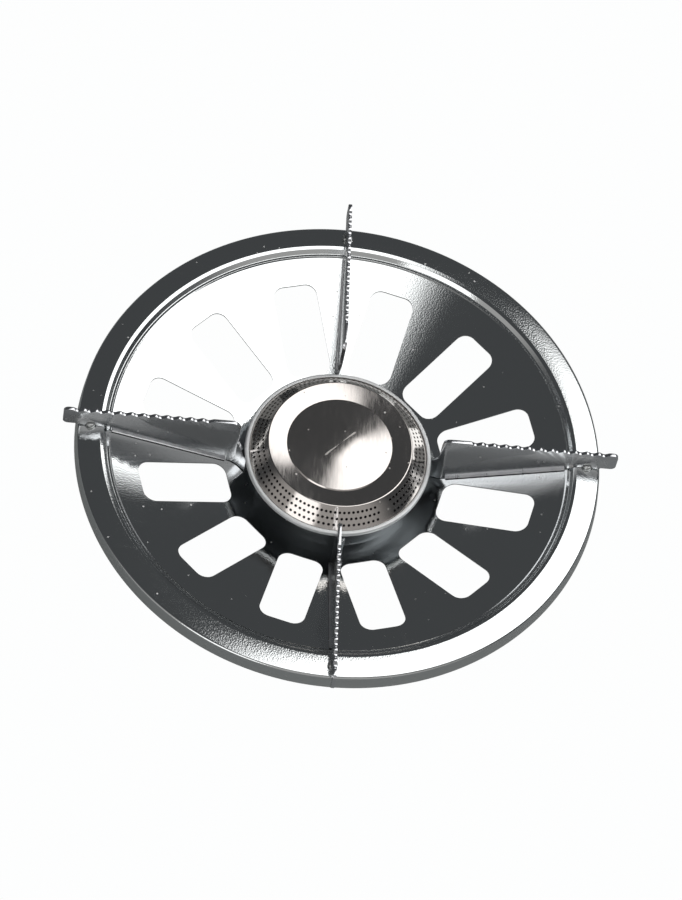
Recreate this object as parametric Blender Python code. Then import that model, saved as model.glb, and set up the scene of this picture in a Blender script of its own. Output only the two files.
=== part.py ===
"""Screw-on gas cooker top: a pressed pan with four serrated pot arms round a perforated burner.

The origin is the centre of the face that seats on the gas cylinder, and +Z runs up the mixing tube.
The arms lie along X and Y. The control knob points along +Y, under the pan.
"""

import math

import bmesh
import bpy
from mathutils import Matrix, Vector

MM = 0.001
GAP = 0.3 * MM
CUT_PAST = 1.0 * MM
MERGE = 0.001 * MM
SHARP_ANGLE = math.radians(35)
ARC_STEP = math.radians(32)

# Heights above the seat face
RIM_HEIGHT = 92.0 * MM
VALVE_HEIGHT = 28.0 * MM
SPINDLE_HEIGHT = 14.0 * MM

# Pan: one sheet with a flat floor, a conical dish, a stepped bead, a flat rim and a turned-down flange
PAN_RADIUS = 150.4 * MM
PAN_DEPTH = 29.5 * MM
PAN_SHEET = 0.8 * MM
PAN_SEGMENTS = 60
FLOOR_INSET = 4.8 * MM
FLOOR_ROUND = 6.0 * MM
RIM_WIDTH = 13.2 * MM
RIM_FALL = 0.7 * MM
RIM_ROUND = 2.2 * MM
FLANGE_DEPTH = 10.0 * MM
FLANGE_FLARE = 1.1 * MM
BEAD_WALL_RUN = 2.0 * MM
BEAD_WALL_DEPTH = 2.2 * MM
BEAD_LEDGE_RUN = 2.6 * MM
BEAD_LEDGE_FALL = 0.3 * MM
BEAD_STEP_RUN = 1.4 * MM
BEAD_STEP_DEPTH = 1.1 * MM

# Slots through the dish
SLOT_COUNT = 12
SLOT_WIDTH = 26.4 * MM
SLOT_ROUND = 6.8 * MM
SLOT_TO_BURNER = 9.4 * MM
SLOT_TO_BEAD = 15.3 * MM

# Pot arms: blades on edge, scalloped along the top, the inner end curved round the burner
ARM_SIDES = ("east", "north", "west", "south")
ARM_THICKNESS = 2.0 * MM
ARM_RISE = 15.0 * MM
ARM_OVERHANG = 8.6 * MM
ARM_TAB_LIFT = 1.0 * MM
ARM_TIP_ROUND = 3.0 * MM
ARM_INNER_ROUND = 5.0 * MM
ARM_TO_BURNER = 4.2 * MM
ARM_TO_PAN = 0.4 * MM
ARM_TUCK = 0.8 * MM
ARM_TUCK_DROP = 2.1 * MM
ARM_PLAIN_LENGTH = 15.3 * MM
ARM_TIP_PLAIN = 4.8 * MM
SCALLOP_PITCH = 6.74 * MM
SCALLOP_DEPTH = 1.5 * MM
SCALLOP_POINTS = 4
CURL_RADIUS = 14.0 * MM
CURL_START = 9.2 * MM
CURL_CUTS = 5
TAIL_REACH = 3.8 * MM
TAIL_DROP = 15.0 * MM

# Slotted rivet studs that hold the outer ends of the arms
STUD_INSET = 7.4 * MM
STUD_HEAD_RADIUS = 2.8 * MM
STUD_HEAD_HEIGHT = 2.9 * MM
STUD_HEAD_ROUND = 0.9 * MM
STUD_SLOT_FLOOR = 0.8 * MM
STUD_SHANK_RADIUS = 1.6 * MM
STUD_TAIL_RADIUS = 2.6 * MM
STUD_TAIL_HEIGHT = 1.0 * MM

# Burner
BURNER_RADIUS = 53.8 * MM
BURNER_RIM_DROP = 8.5 * MM
BURNER_RIM_DEPTH = 2.5 * MM
BURNER_LIP = 2.3 * MM
BURNER_WALL = 1.5 * MM
CAP_LEDGE_WIDTH = 1.8 * MM
BURNER_SEGMENTS = 40
BOWL_FLOOR_RADIUS = 33.0 * MM
BOWL_WAIST_INSET = 11.8 * MM
BOWL_WAIST_DROP = 11.0 * MM
CAP_SHEET = 0.8 * MM
CAP_RIDGE_RADIUS = 41.5 * MM
CAP_RIDGE_RISE = 1.7 * MM
CAP_RIDGE_ROUND = 1.3 * MM
CAP_DISC_RADIUS = 30.0 * MM
CAP_DISC_RISE = 0.9 * MM
CAP_DISC_STEP = 0.6 * MM
CAP_CROWN = 1.7 * MM
CROWN_POINTS = 4
CAP_FOOT = 0.8 * MM
PORT_RADIUS = 0.9 * MM
PORT_SIDES = 6
PORTS_PER_ROW = 16
PORT_ROWS = (0.28, 0.52, 0.78)

# Mixing tube and what clamps it
TUBE_RADIUS = 11.0 * MM
TUBE_WALL = 2.0 * MM
TUBE_FLANGE_WIDTH = 4.0 * MM
TUBE_FLANGE_HEIGHT = 2.0 * MM
AIR_HOLE_RADIUS = 4.0 * MM
AIR_HOLE_COUNT = 4
AIR_HOLE_RISE = 14.0 * MM
WASHER_RADIUS = 17.0 * MM
WASHER_HEIGHT = 1.5 * MM
LOCKNUT_FLATS = 32.0 * MM
LOCKNUT_HEIGHT = 6.0 * MM
TURNED_SEGMENTS = 20

# Valve
VALVE_RADIUS = 14.0 * MM
STUB_RADIUS = 9.0 * MM
STUB_LENGTH = 12.0 * MM
STUB_CHAMFER = 0.8 * MM
SEAL_GROOVE_WIDTH = 3.0 * MM
SEAL_GROOVE_DEPTH = 2.0 * MM
SEAL_STAND = 0.4 * MM
SPIGOT_HEIGHT = 6.0 * MM
SPIGOT_WALL = 2.0 * MM
INLET_RADIUS = 2.5 * MM
INLET_ABOVE_SPINDLE = 1.2 * MM
NEEDLE_SEAT_OFFSET = 4.0 * MM
ORIFICE_RADIUS = 0.9 * MM
OUTLET_RADIUS = 1.3 * MM
OUTLET_START = 8.0 * MM
JET_SOCKET_DEPTH = 8.0 * MM
BOSS_RADIUS = 8.0 * MM
BOSS_END = 26.0 * MM
PACKING_SEAT = 18.0 * MM
PACKING_HEIGHT = 3.0 * MM
PACKING_WIDTH = 2.2 * MM
PIN_RADIUS = 1.0 * MM
PIN_STAND = 2.0 * MM
PIN_COLLAR_LOW = 6.0 * MM
PIN_COLLAR_HEIGHT = 3.0 * MM
SMALL_SEGMENTS = 12

# Jet
JET_SHANK_RADIUS = 3.2 * MM
JET_HEX_FLATS = 8.0 * MM
JET_HEX_HEIGHT = 4.0 * MM
JET_NOSE_HEIGHT = 4.0 * MM
JET_NOSE_RADIUS = 1.5 * MM
JET_BORE_RADIUS = 1.1 * MM
JET_ORIFICE_RADIUS = 0.45 * MM
JET_ORIFICE_LENGTH = 1.5 * MM

# Spindle, gland nut and knob, as distances along the spindle from the tube's axis
SPINDLE_RADIUS = 3.0 * MM
SPINDLE_END = 47.0 * MM
NEEDLE_TIP_RADIUS = 0.3 * MM
NEEDLE_ROOT_RADIUS = 1.9 * MM
NEEDLE_LENGTH = 3.2 * MM
NEEDLE_INSERTION = 0.8 * MM
SPINDLE_SHOULDER = 1.4 * MM
GLAND_FLATS = 14.0 * MM
GLAND_HEX_HEIGHT = 5.0 * MM
GLAND_OVERLAP = 1.0 * MM
KNOB_START = 35.0 * MM
KNOB_LENGTH = 18.0 * MM
KNOB_RADIUS = 17.0 * MM
KNOB_TAPER = 0.8 * MM
KNOB_WALL = 2.5 * MM
KNOB_FACE = 3.5 * MM
KNOB_HUB_WALL = 3.0 * MM
KNOB_HUB_SHORT = 3.0 * MM
KNOB_WEB = 2.7 * MM
KNOB_SEGMENTS = 30
FLUTE_COUNT = 10
FLUTE_RADIUS = 2.4 * MM
FLUTE_OUTSET = 1.1 * MM
FLUTE_START = 2.5 * MM
POINTER_LENGTH = 7.5 * MM
POINTER_WIDTH = 1.4 * MM
POINTER_DEPTH = 0.7 * MM
SCREW_HEAD_RADIUS = 3.4 * MM
SCREW_HEAD_HEIGHT = 2.2 * MM
SCREW_SHANK_RADIUS = 1.5 * MM
SCREW_LENGTH = 8.0 * MM
SCREW_SLOT_WIDTH = 0.9 * MM
SCREW_SLOT_DEPTH = 1.0 * MM

# Finishes: colour, roughness, metallic
FINISHES = {
    "chrome": ((0.83, 0.83, 0.84), 0.08, 1.0),
    "stainless": ((0.68, 0.65, 0.62), 0.16, 1.0),
    "satin_zinc": ((0.66, 0.67, 0.67), 0.42, 1.0),
    "zinc_plate": ((0.60, 0.61, 0.62), 0.35, 1.0),
    "brass": ((0.80, 0.62, 0.30), 0.28, 1.0),
    "black_rubber": ((0.03, 0.03, 0.03), 0.75, 0.0),
    "black_plastic": ((0.035, 0.035, 0.037), 0.45, 0.0),
}

# Heights and radii that follow from the sizes above
PAN_TOP = RIM_HEIGHT
FLOOR_TOP = RIM_HEIGHT - PAN_DEPTH
FLOOR_BOTTOM = FLOOR_TOP - PAN_SHEET
FLOOR_RADIUS = BURNER_RADIUS - FLOOR_INSET
RIM_INNER_RADIUS = PAN_RADIUS - RIM_WIDTH
LEDGE_RADIUS = RIM_INNER_RADIUS - BEAD_WALL_RUN
STEP_RADIUS = LEDGE_RADIUS - BEAD_LEDGE_RUN
DISH_RADIUS = STEP_RADIUS - BEAD_STEP_RUN
LEDGE_TOP = PAN_TOP - BEAD_WALL_DEPTH
STEP_TOP = LEDGE_TOP - BEAD_LEDGE_FALL
DISH_TOP = STEP_TOP - BEAD_STEP_DEPTH
DISH_SLOPE = (DISH_TOP - FLOOR_TOP) / (DISH_RADIUS - FLOOR_RADIUS)
TUBE_HOLE_RADIUS = TUBE_RADIUS + GAP
STUD_RADIUS = PAN_RADIUS - STUD_INSET
STUD_SEAT = PAN_TOP - RIM_FALL * (STUD_RADIUS - RIM_INNER_RADIUS) / RIM_WIDTH
ARM_TOP = RIM_HEIGHT + ARM_RISE
ARM_TIP = PAN_RADIUS + ARM_OVERHANG
ARM_INNER = BURNER_RADIUS + ARM_TO_BURNER
CURL_START_RADIUS = BURNER_RADIUS + CURL_START
TAIL_RADIUS = BURNER_RADIUS - TAIL_REACH
BURNER_RIM_TOP = RIM_HEIGHT - BURNER_RIM_DROP
BURNER_RIM_BOTTOM = BURNER_RIM_TOP - BURNER_RIM_DEPTH
BOWL_BOTTOM = FLOOR_TOP + GAP
BOWL_FLOOR = BOWL_BOTTOM + BURNER_WALL
CAP_LEDGE = BURNER_RIM_TOP - BURNER_WALL
CAP_FOOT_RADIUS = BURNER_RADIUS - BURNER_LIP - GAP
CAP_FOOT_BOTTOM = CAP_LEDGE + GAP
FLANGE_BOTTOM = BOWL_FLOOR + GAP
SEAL_GROOVE_RADIUS = STUB_RADIUS + SEAL_GROOVE_WIDTH
SPIGOT_RADIUS = TUBE_RADIUS - TUBE_WALL - GAP
JET_SOCKET_RADIUS = JET_SHANK_RADIUS + GAP
SPINDLE_BORE_RADIUS = SPINDLE_RADIUS + GAP
PACKING_RADIUS = SPINDLE_BORE_RADIUS + PACKING_WIDTH - GAP
PACKING_SEAT_RADIUS = PACKING_RADIUS + GAP
KNOB_END = KNOB_START + KNOB_LENGTH
KNOB_FACE_INNER = KNOB_END - KNOB_FACE
SCREW_BORE_RADIUS = SCREW_SHANK_RADIUS + GAP
SCREW_SEAT = SPINDLE_END + GAP + KNOB_WEB


def clear_scene():
    """Removes every object of the scene."""
    for obj in list(bpy.data.objects):
        bpy.data.objects.remove(obj)


def make_finishes():
    """Makes one material for each finish."""
    made = {}
    for name, (colour, roughness, metallic) in FINISHES.items():
        material = bpy.data.materials.new(name)
        material.use_nodes = True
        shader = material.node_tree.nodes["Principled BSDF"]
        shader.inputs["Base Color"].default_value = (*colour, 1.0)
        shader.inputs["Roughness"].default_value = roughness
        shader.inputs["Metallic"].default_value = metallic
        material.diffuse_color = (*colour, 1.0)
        made[name] = material
    return made


# Outlines and solids


def arc(corner, back, onward, radius):
    """Points of the arc that rounds a corner, given unit vectors along its two sides."""
    half = back.angle(onward) / 2
    centre = corner + (back + onward).normalized() * (radius / math.sin(half))
    start = corner + back * (radius / math.tan(half)) - centre
    end = corner + onward * (radius / math.tan(half)) - centre
    sweep = math.copysign(math.pi - 2 * half, start.x * end.y - start.y * end.x)
    count = max(1, math.ceil(abs(sweep) / ARC_STEP))
    turns = [Matrix.Rotation(sweep * i / count, 2) for i in range(count + 1)]
    return [tuple(centre + turn @ start) for turn in turns]


def rounded(corners, closed=False):
    """Turns corners (x, y) or (x, y, radius) into points, with an arc at each one that has a radius."""
    points = []
    for i, (x, y, *radius) in enumerate(corners):
        inside = closed or 0 < i < len(corners) - 1
        if not radius or not inside:
            points.append((x, y))
            continue
        corner = Vector((x, y))
        back = (Vector(corners[i - 1][:2]) - corner).normalized()
        onward = (Vector(corners[(i + 1) % len(corners)][:2]) - corner).normalized()
        points += arc(corner, back, onward, radius[0])
    return points


def sheet(path, thickness):
    """Outline of a sheet whose upper face follows the path outward from the axis."""
    points = [Vector(point) for point in path]
    lower = []
    for i, point in enumerate(points):
        before = (point - points[i - 1]).normalized() if i else None
        after = (points[i + 1] - point).normalized() if i + 1 < len(points) else None
        before, after = before or after, after or before
        along = (before + after).normalized()
        below = Vector((along.y, -along.x)) * (thickness / along.dot(before))
        lower.append((point.x + below.x if point.x else 0.0, point.y + below.y))
    return [tuple(point) for point in points] + lower[::-1]


def finished(name, bm, finish, parent=None):
    """Makes a scene object from closed geometry, with its faces outward."""
    bmesh.ops.remove_doubles(bm, verts=bm.verts, dist=MERGE)
    bmesh.ops.recalc_face_normals(bm, faces=bm.faces)
    mesh = bpy.data.meshes.new(name)
    bm.to_mesh(mesh)
    bm.free()
    mesh.shade_smooth()
    mesh.set_sharp_from_angle(angle=SHARP_ANGLE)
    if finish:
        mesh.materials.append(finish)
    obj = bpy.data.objects.new(name, mesh)
    obj.parent = parent
    bpy.context.scene.collection.objects.link(obj)
    return obj


def add_turned(bm, outline, segments):
    """Adds the solid that a closed outline of (radius, height) points sweeps about Z."""
    verts = [bm.verts.new((radius, 0, height)) for radius, height in outline]
    ends = [(verts[i - 1], vert) for i, vert in enumerate(verts)]
    edges = [bm.edges.new(pair) for pair in ends if pair[0].co.x or pair[1].co.x]
    bmesh.ops.spin(
        bm, geom=verts + edges, cent=(0, 0, 0), axis=(0, 0, 1), angle=math.tau,
        steps=segments, use_merge=True, use_duplicate=False,
    )


def turned(name, outline, finish, segments=TURNED_SEGMENTS, parent=None):
    """Makes a turned piece."""
    bm = bmesh.new()
    add_turned(bm, outline, segments)
    return finished(name, bm, finish, parent)


def add_prism(bm, outline, low, high, place=None):
    """Adds a closed outline of (x, y) points extruded from one height to another, then placed."""
    verts = [bm.verts.new((x, y, low)) for x, y in outline]
    face = bm.faces.new(verts)
    side = bmesh.ops.extrude_face_region(bm, geom=[face])["geom"]
    raised = [item for item in side if isinstance(item, bmesh.types.BMVert)]
    bmesh.ops.translate(bm, verts=raised, vec=(0, 0, high - low))
    if place:
        bmesh.ops.transform(bm, verts=verts + raised, matrix=place)


def add_cylinder(bm, radius, length, place, segments=SMALL_SEGMENTS):
    """Adds a cylinder centred on the origin of its place, along its Z."""
    bmesh.ops.create_cone(
        bm, cap_ends=True, segments=segments, radius1=radius, radius2=radius, depth=length, matrix=place,
    )


def hexagon(flats):
    """Corners of a hexagon, given the distance across its flats."""
    corner = flats / math.sqrt(3)
    return [(corner * math.cos(i * math.pi / 3), corner * math.sin(i * math.pi / 3)) for i in range(6)]


def rectangle(low_x, low_y, high_x, high_y):
    """Corners of a rectangle."""
    return [(low_x, low_y), (high_x, low_y), (high_x, high_y), (low_x, high_y)]


def combine(target, tool, operation="DIFFERENCE"):
    """Cuts the tool from the target, or joins it to the target."""
    modifier = target.modifiers.new(tool.name, "BOOLEAN")
    modifier.operation = operation
    modifier.object = tool
    tool.hide_render = True
    tool.display_type = "WIRE"


def about_z(angle):
    """A turn about the tube's axis."""
    return Matrix.Rotation(angle, 4, "Z")


# Pan


def dish_height(radius):
    """Height of the dish's upper face."""
    return FLOOR_TOP + DISH_SLOPE * (radius - FLOOR_RADIUS)


def drip_pan(finish):
    """The pressed pan, with its slots and the holes for the tube and the studs."""
    path = rounded([
        (TUBE_HOLE_RADIUS, FLOOR_TOP),
        (FLOOR_RADIUS, FLOOR_TOP, FLOOR_ROUND),
        (DISH_RADIUS, DISH_TOP),
        (STEP_RADIUS, STEP_TOP),
        (LEDGE_RADIUS, LEDGE_TOP),
        (RIM_INNER_RADIUS, PAN_TOP),
        (PAN_RADIUS, PAN_TOP - RIM_FALL, RIM_ROUND),
        (PAN_RADIUS + FLANGE_FLARE, PAN_TOP - FLANGE_DEPTH),
    ])
    pan = turned("drip_pan", sheet(path, PAN_SHEET), finish, PAN_SEGMENTS)
    low = FLOOR_BOTTOM - CUT_PAST
    high = PAN_TOP + CUT_PAST
    inner = BURNER_RADIUS + SLOT_TO_BURNER
    outer = DISH_RADIUS - SLOT_TO_BEAD
    corners = rectangle(inner, -SLOT_WIDTH / 2, outer, SLOT_WIDTH / 2)
    slot = rounded([(*corner, SLOT_ROUND) for corner in corners], closed=True)
    bm = bmesh.new()
    for i in range(SLOT_COUNT):
        add_prism(bm, slot, low, high, about_z((i + 0.5) * math.tau / SLOT_COUNT))
    for i in range(len(ARM_SIDES)):
        place = about_z(i * math.tau / len(ARM_SIDES)) @ Matrix.Translation((STUD_RADIUS, 0, PAN_TOP))
        add_cylinder(bm, STUD_SHANK_RADIUS + GAP, 2 * (RIM_FALL + PAN_SHEET + CUT_PAST), place)
    combine(pan, finished("pan_holes", bm, None))


# Arms and studs


def scallops():
    """Points of the scalloped top edge, from the tip inward."""
    outer = ARM_TIP - ARM_TIP_PLAIN
    inner = ARM_INNER + ARM_PLAIN_LENGTH
    count = math.floor((outer - inner) / SCALLOP_PITCH)
    points = []
    for i in range(count * SCALLOP_POINTS):
        turn = i / SCALLOP_POINTS
        depth = SCALLOP_DEPTH * (1 - math.cos(turn * math.tau)) / 2
        points.append((outer - turn * SCALLOP_PITCH, ARM_TOP - depth))
    return points + [(outer - count * SCALLOP_PITCH, ARM_TOP)]


def curled(x, y=0.0):
    """Where the curl takes a point of the blade, in plan."""
    turn = max(0.0, CURL_START_RADIUS - x) / CURL_RADIUS
    radius = CURL_RADIUS + y
    return max(x, CURL_START_RADIUS) - radius * math.sin(turn), radius * math.cos(turn) - CURL_RADIUS


def arm_outline():
    """Side view of an arm before its inner end is curved, as (radius, height) points."""
    rim = PAN_TOP + GAP
    notch = STUD_HEAD_RADIUS + GAP
    notch_top = STUD_SEAT + STUD_SLOT_FLOOR + GAP
    tuck = BURNER_RADIUS + ARM_TUCK
    tail_outside = math.hypot(*curled(TAIL_RADIUS)) + ARM_THICKNESS / 2
    return rounded([
        (TAIL_RADIUS, dish_height(tail_outside) + ARM_TO_PAN),
        (CURL_START_RADIUS, dish_height(CURL_START_RADIUS) + ARM_TO_PAN),
        (DISH_RADIUS, DISH_TOP + ARM_TO_PAN),
        (STEP_RADIUS, STEP_TOP + 2 * ARM_TO_PAN),
        (RIM_INNER_RADIUS - GAP, rim),
        (STUD_RADIUS - notch, rim),
        (STUD_RADIUS - notch, notch_top),
        (STUD_RADIUS + notch, notch_top),
        (STUD_RADIUS + notch, rim),
        (PAN_RADIUS, rim),
        (PAN_RADIUS + GAP, PAN_TOP + ARM_TAB_LIFT),
        (ARM_TIP, PAN_TOP + ARM_TAB_LIFT, ARM_TIP_ROUND),
        (ARM_TIP, ARM_TOP, ARM_TIP_ROUND),
        *scallops(),
        (ARM_INNER, ARM_TOP, ARM_INNER_ROUND),
        (ARM_INNER, BURNER_RIM_TOP + ARM_TO_BURNER),
        (tuck, BURNER_RIM_TOP - ARM_TUCK_DROP),
        (tuck, BURNER_RIM_BOTTOM - ARM_TUCK),
        (TAIL_RADIUS, RIM_HEIGHT - TAIL_DROP),
    ], closed=True)


def curl(bm):
    """Curves what lies inside the curl's start round a vertical axis, towards -Y."""
    for i in range(CURL_CUTS):
        where = CURL_START_RADIUS - i * (CURL_START_RADIUS - TAIL_RADIUS) / CURL_CUTS
        geometry = bm.verts[:] + bm.edges[:] + bm.faces[:]
        bmesh.ops.bisect_plane(bm, geom=geometry, plane_co=(where, 0, 0), plane_no=(1, 0, 0))
    for vert in bm.verts:
        vert.co.x, vert.co.y = curled(vert.co.x, vert.co.y)


def pot_arms(finish):
    """The four arms, each a blade on edge with its inner end curved round the burner."""
    bm = bmesh.new()
    stand_up = Matrix.Rotation(math.pi / 2, 4, "X")
    add_prism(bm, arm_outline(), -ARM_THICKNESS / 2, ARM_THICKNESS / 2, stand_up)
    curl(bm)
    first = finished("pot_arm_" + ARM_SIDES[0], bm, finish)
    for i, side in enumerate(ARM_SIDES[1:], start=1):
        arm = bpy.data.objects.new("pot_arm_" + side, first.data)
        arm.rotation_euler.z = i * math.tau / len(ARM_SIDES)
        bpy.context.scene.collection.objects.link(arm)


def arm_studs(finish):
    """The slotted rivets: each arm's foot stands in the slot across its stud's head."""
    under = STUD_SEAT - PAN_SHEET - 2 * GAP
    outline = rounded([
        (0, under - STUD_TAIL_HEIGHT),
        (STUD_TAIL_RADIUS, under - STUD_TAIL_HEIGHT),
        (STUD_TAIL_RADIUS, under),
        (STUD_SHANK_RADIUS, under),
        (STUD_SHANK_RADIUS, STUD_SEAT + GAP),
        (STUD_HEAD_RADIUS, STUD_SEAT + GAP),
        (STUD_HEAD_RADIUS, STUD_SEAT + STUD_HEAD_HEIGHT, STUD_HEAD_ROUND),
        (0, STUD_SEAT + STUD_HEAD_HEIGHT),
    ])
    half = ARM_THICKNESS / 2 + GAP
    reach = STUD_HEAD_RADIUS + CUT_PAST
    slot = rectangle(-reach, -half, reach, half)
    for i, side in enumerate(ARM_SIDES):
        place = about_z(i * math.tau / len(ARM_SIDES)) @ Matrix.Translation((STUD_RADIUS, 0, 0))
        stud = turned("arm_stud_" + side, outline, finish, SMALL_SEGMENTS)
        stud.matrix_world = place
        bm = bmesh.new()
        add_prism(bm, slot, STUD_SEAT + STUD_SLOT_FLOOR, STUD_SEAT + STUD_HEAD_HEIGHT + CUT_PAST, place)
        combine(stud, finished("stud_slot_" + side, bm, None))


# Burner


def burner_bowl(finish):
    """The bowl under the cap, with a ledge inside its rim for the cap's foot."""
    lip_radius = BURNER_RADIUS - BURNER_LIP
    shoulder = BURNER_RIM_BOTTOM - BURNER_WALL / 2
    waist = BURNER_RADIUS - BOWL_WAIST_INSET
    waist_height = BURNER_RIM_TOP - BOWL_WAIST_DROP
    outline = [
        (TUBE_HOLE_RADIUS, BOWL_BOTTOM),
        (BOWL_FLOOR_RADIUS, BOWL_BOTTOM),
        (waist, waist_height),
        (lip_radius, shoulder),
        (BURNER_RADIUS, BURNER_RIM_BOTTOM),
        (BURNER_RADIUS, BURNER_RIM_TOP),
        (lip_radius, BURNER_RIM_TOP),
        (lip_radius, CAP_LEDGE),
        (lip_radius - CAP_LEDGE_WIDTH, CAP_LEDGE),
        (waist - BURNER_WALL, waist_height + BURNER_WALL / 2),
        (BOWL_FLOOR_RADIUS - BURNER_WALL / 2, BOWL_FLOOR),
        (TUBE_HOLE_RADIUS, BOWL_FLOOR),
    ]
    turned("burner_bowl", outline, finish, BURNER_SEGMENTS)


def cap_path():
    """Upper face of the cap, from its centre to its foot."""
    disc = RIM_HEIGHT + CAP_DISC_RISE
    crown = [
        (CAP_DISC_RADIUS * i / CROWN_POINTS, disc + CAP_CROWN * (1 - (i / CROWN_POINTS) ** 2))
        for i in range(CROWN_POINTS + 1)
    ]
    return rounded([
        *crown,
        (CAP_DISC_RADIUS + CAP_DISC_STEP, disc - CAP_DISC_STEP),
        (CAP_RIDGE_RADIUS, RIM_HEIGHT + CAP_RIDGE_RISE, CAP_RIDGE_ROUND),
        (CAP_FOOT_RADIUS, CAP_FOOT_BOTTOM + CAP_FOOT),
        (CAP_FOOT_RADIUS, CAP_FOOT_BOTTOM),
    ])


def burner_cap(finish):
    """The cap, with rows of gas ports through its cone."""
    cap = turned("burner_cap", sheet(cap_path(), CAP_SHEET), finish, BURNER_SEGMENTS)
    top = Vector((CAP_RIDGE_RADIUS, 0, RIM_HEIGHT + CAP_RIDGE_RISE))
    foot = Vector((CAP_FOOT_RADIUS, 0, CAP_FOOT_BOTTOM + CAP_FOOT))
    down = (foot - top).normalized()
    outward = Vector((-down.z, 0, down.x))
    lean = outward.to_track_quat("Z", "Y").to_matrix().to_4x4()
    bm = bmesh.new()
    for row, share in enumerate(PORT_ROWS):
        port = Matrix.Translation(top.lerp(foot, share)) @ lean
        for i in range(PORTS_PER_ROW):
            turn = about_z((i + row / 2) * math.tau / PORTS_PER_ROW)
            add_cylinder(bm, PORT_RADIUS, 2 * (CAP_SHEET + CUT_PAST), turn @ port, PORT_SIDES)
    combine(cap, finished("cap_ports", bm, None))


# Tube and clamping pieces


def mixing_tube(finish):
    """The tube from the valve to the bowl, with a flange inside the bowl and air holes low down."""
    low = VALVE_HEIGHT + GAP
    high = FLANGE_BOTTOM + TUBE_FLANGE_HEIGHT
    flange = TUBE_RADIUS + TUBE_FLANGE_WIDTH
    outline = [
        (TUBE_RADIUS - TUBE_WALL, low),
        (TUBE_RADIUS, low),
        (TUBE_RADIUS, FLANGE_BOTTOM),
        (flange, FLANGE_BOTTOM),
        (flange, high),
        (TUBE_RADIUS - TUBE_WALL, high),
    ]
    tube = turned("mixing_tube", outline, finish)
    bm = bmesh.new()
    for i in range(AIR_HOLE_COUNT):
        turn = about_z(i * math.tau / AIR_HOLE_COUNT)
        place = turn @ Matrix.Translation((TUBE_RADIUS, 0, VALVE_HEIGHT + AIR_HOLE_RISE))
        across = place @ Matrix.Rotation(math.pi / 2, 4, "Y")
        add_cylinder(bm, AIR_HOLE_RADIUS, 2 * (TUBE_WALL + CUT_PAST), across)
    combine(tube, finished("air_holes", bm, None))


def clamping_pieces(finish):
    """The washer and the locknut under the pan."""
    top = FLOOR_BOTTOM - GAP
    low = top - WASHER_HEIGHT
    turned("tube_washer", rectangle(TUBE_HOLE_RADIUS, low, WASHER_RADIUS, top), finish)
    nut_top = low - GAP
    bm = bmesh.new()
    add_prism(bm, hexagon(LOCKNUT_FLATS), nut_top - LOCKNUT_HEIGHT, nut_top)
    nut = finished("tube_locknut", bm, finish)
    bm = bmesh.new()
    place = Matrix.Translation((0, 0, nut_top))
    add_cylinder(bm, TUBE_HOLE_RADIUS, 2 * (LOCKNUT_HEIGHT + CUT_PAST), place, TURNED_SEGMENTS)
    combine(nut, finished("locknut_bore", bm, None))


# Valve


def spindle_axis():
    """An empty on the spindle's axis, whose Z points out of the valve along +Y."""
    axis = bpy.data.objects.new("spindle_axis", None)
    axis.location.z = SPINDLE_HEIGHT
    axis.rotation_euler.x = -math.pi / 2
    bpy.context.scene.collection.objects.link(axis)
    return axis


def valve_passages(axis):
    """Yields the cutters for the gas's way: inlet, jet socket, spindle bore with its orifice, outlet."""
    socket_floor = VALVE_HEIGHT - JET_SOCKET_DEPTH
    inlet_top = SPINDLE_HEIGHT + INLET_ABOVE_SPINDLE
    inlet_low = -STUB_LENGTH - CUT_PAST
    socket_high = VALVE_HEIGHT + CUT_PAST
    start = Vector((0, OUTLET_START, SPINDLE_HEIGHT))
    end = Vector((0, 0, socket_floor + 2 * GAP))
    lean = (end - start).to_track_quat("Z", "Y").to_matrix().to_4x4()
    bm = bmesh.new()
    inlet = Matrix.Translation((0, 0, (inlet_low + inlet_top) / 2))
    add_cylinder(bm, INLET_RADIUS, inlet_top - inlet_low, inlet)
    yield finished("inlet_bore", bm, None)
    bm = bmesh.new()
    socket = Matrix.Translation((0, 0, (socket_floor + socket_high) / 2))
    add_cylinder(bm, JET_SOCKET_RADIUS, socket_high - socket_floor, socket)
    yield finished("jet_socket", bm, None)
    bore = [
        (0, 0),
        (ORIFICE_RADIUS, 0),
        (ORIFICE_RADIUS, NEEDLE_SEAT_OFFSET),
        (SPINDLE_BORE_RADIUS, NEEDLE_SEAT_OFFSET),
        (SPINDLE_BORE_RADIUS, PACKING_SEAT),
        (PACKING_SEAT_RADIUS, PACKING_SEAT),
        (PACKING_SEAT_RADIUS, BOSS_END + CUT_PAST),
        (0, BOSS_END + CUT_PAST),
    ]
    yield turned("spindle_bore", bore, None, SMALL_SEGMENTS, axis)
    bm = bmesh.new()
    add_cylinder(bm, OUTLET_RADIUS, (end - start).length, Matrix.Translation((start + end) / 2) @ lean)
    yield finished("outlet_drilling", bm, None)


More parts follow.
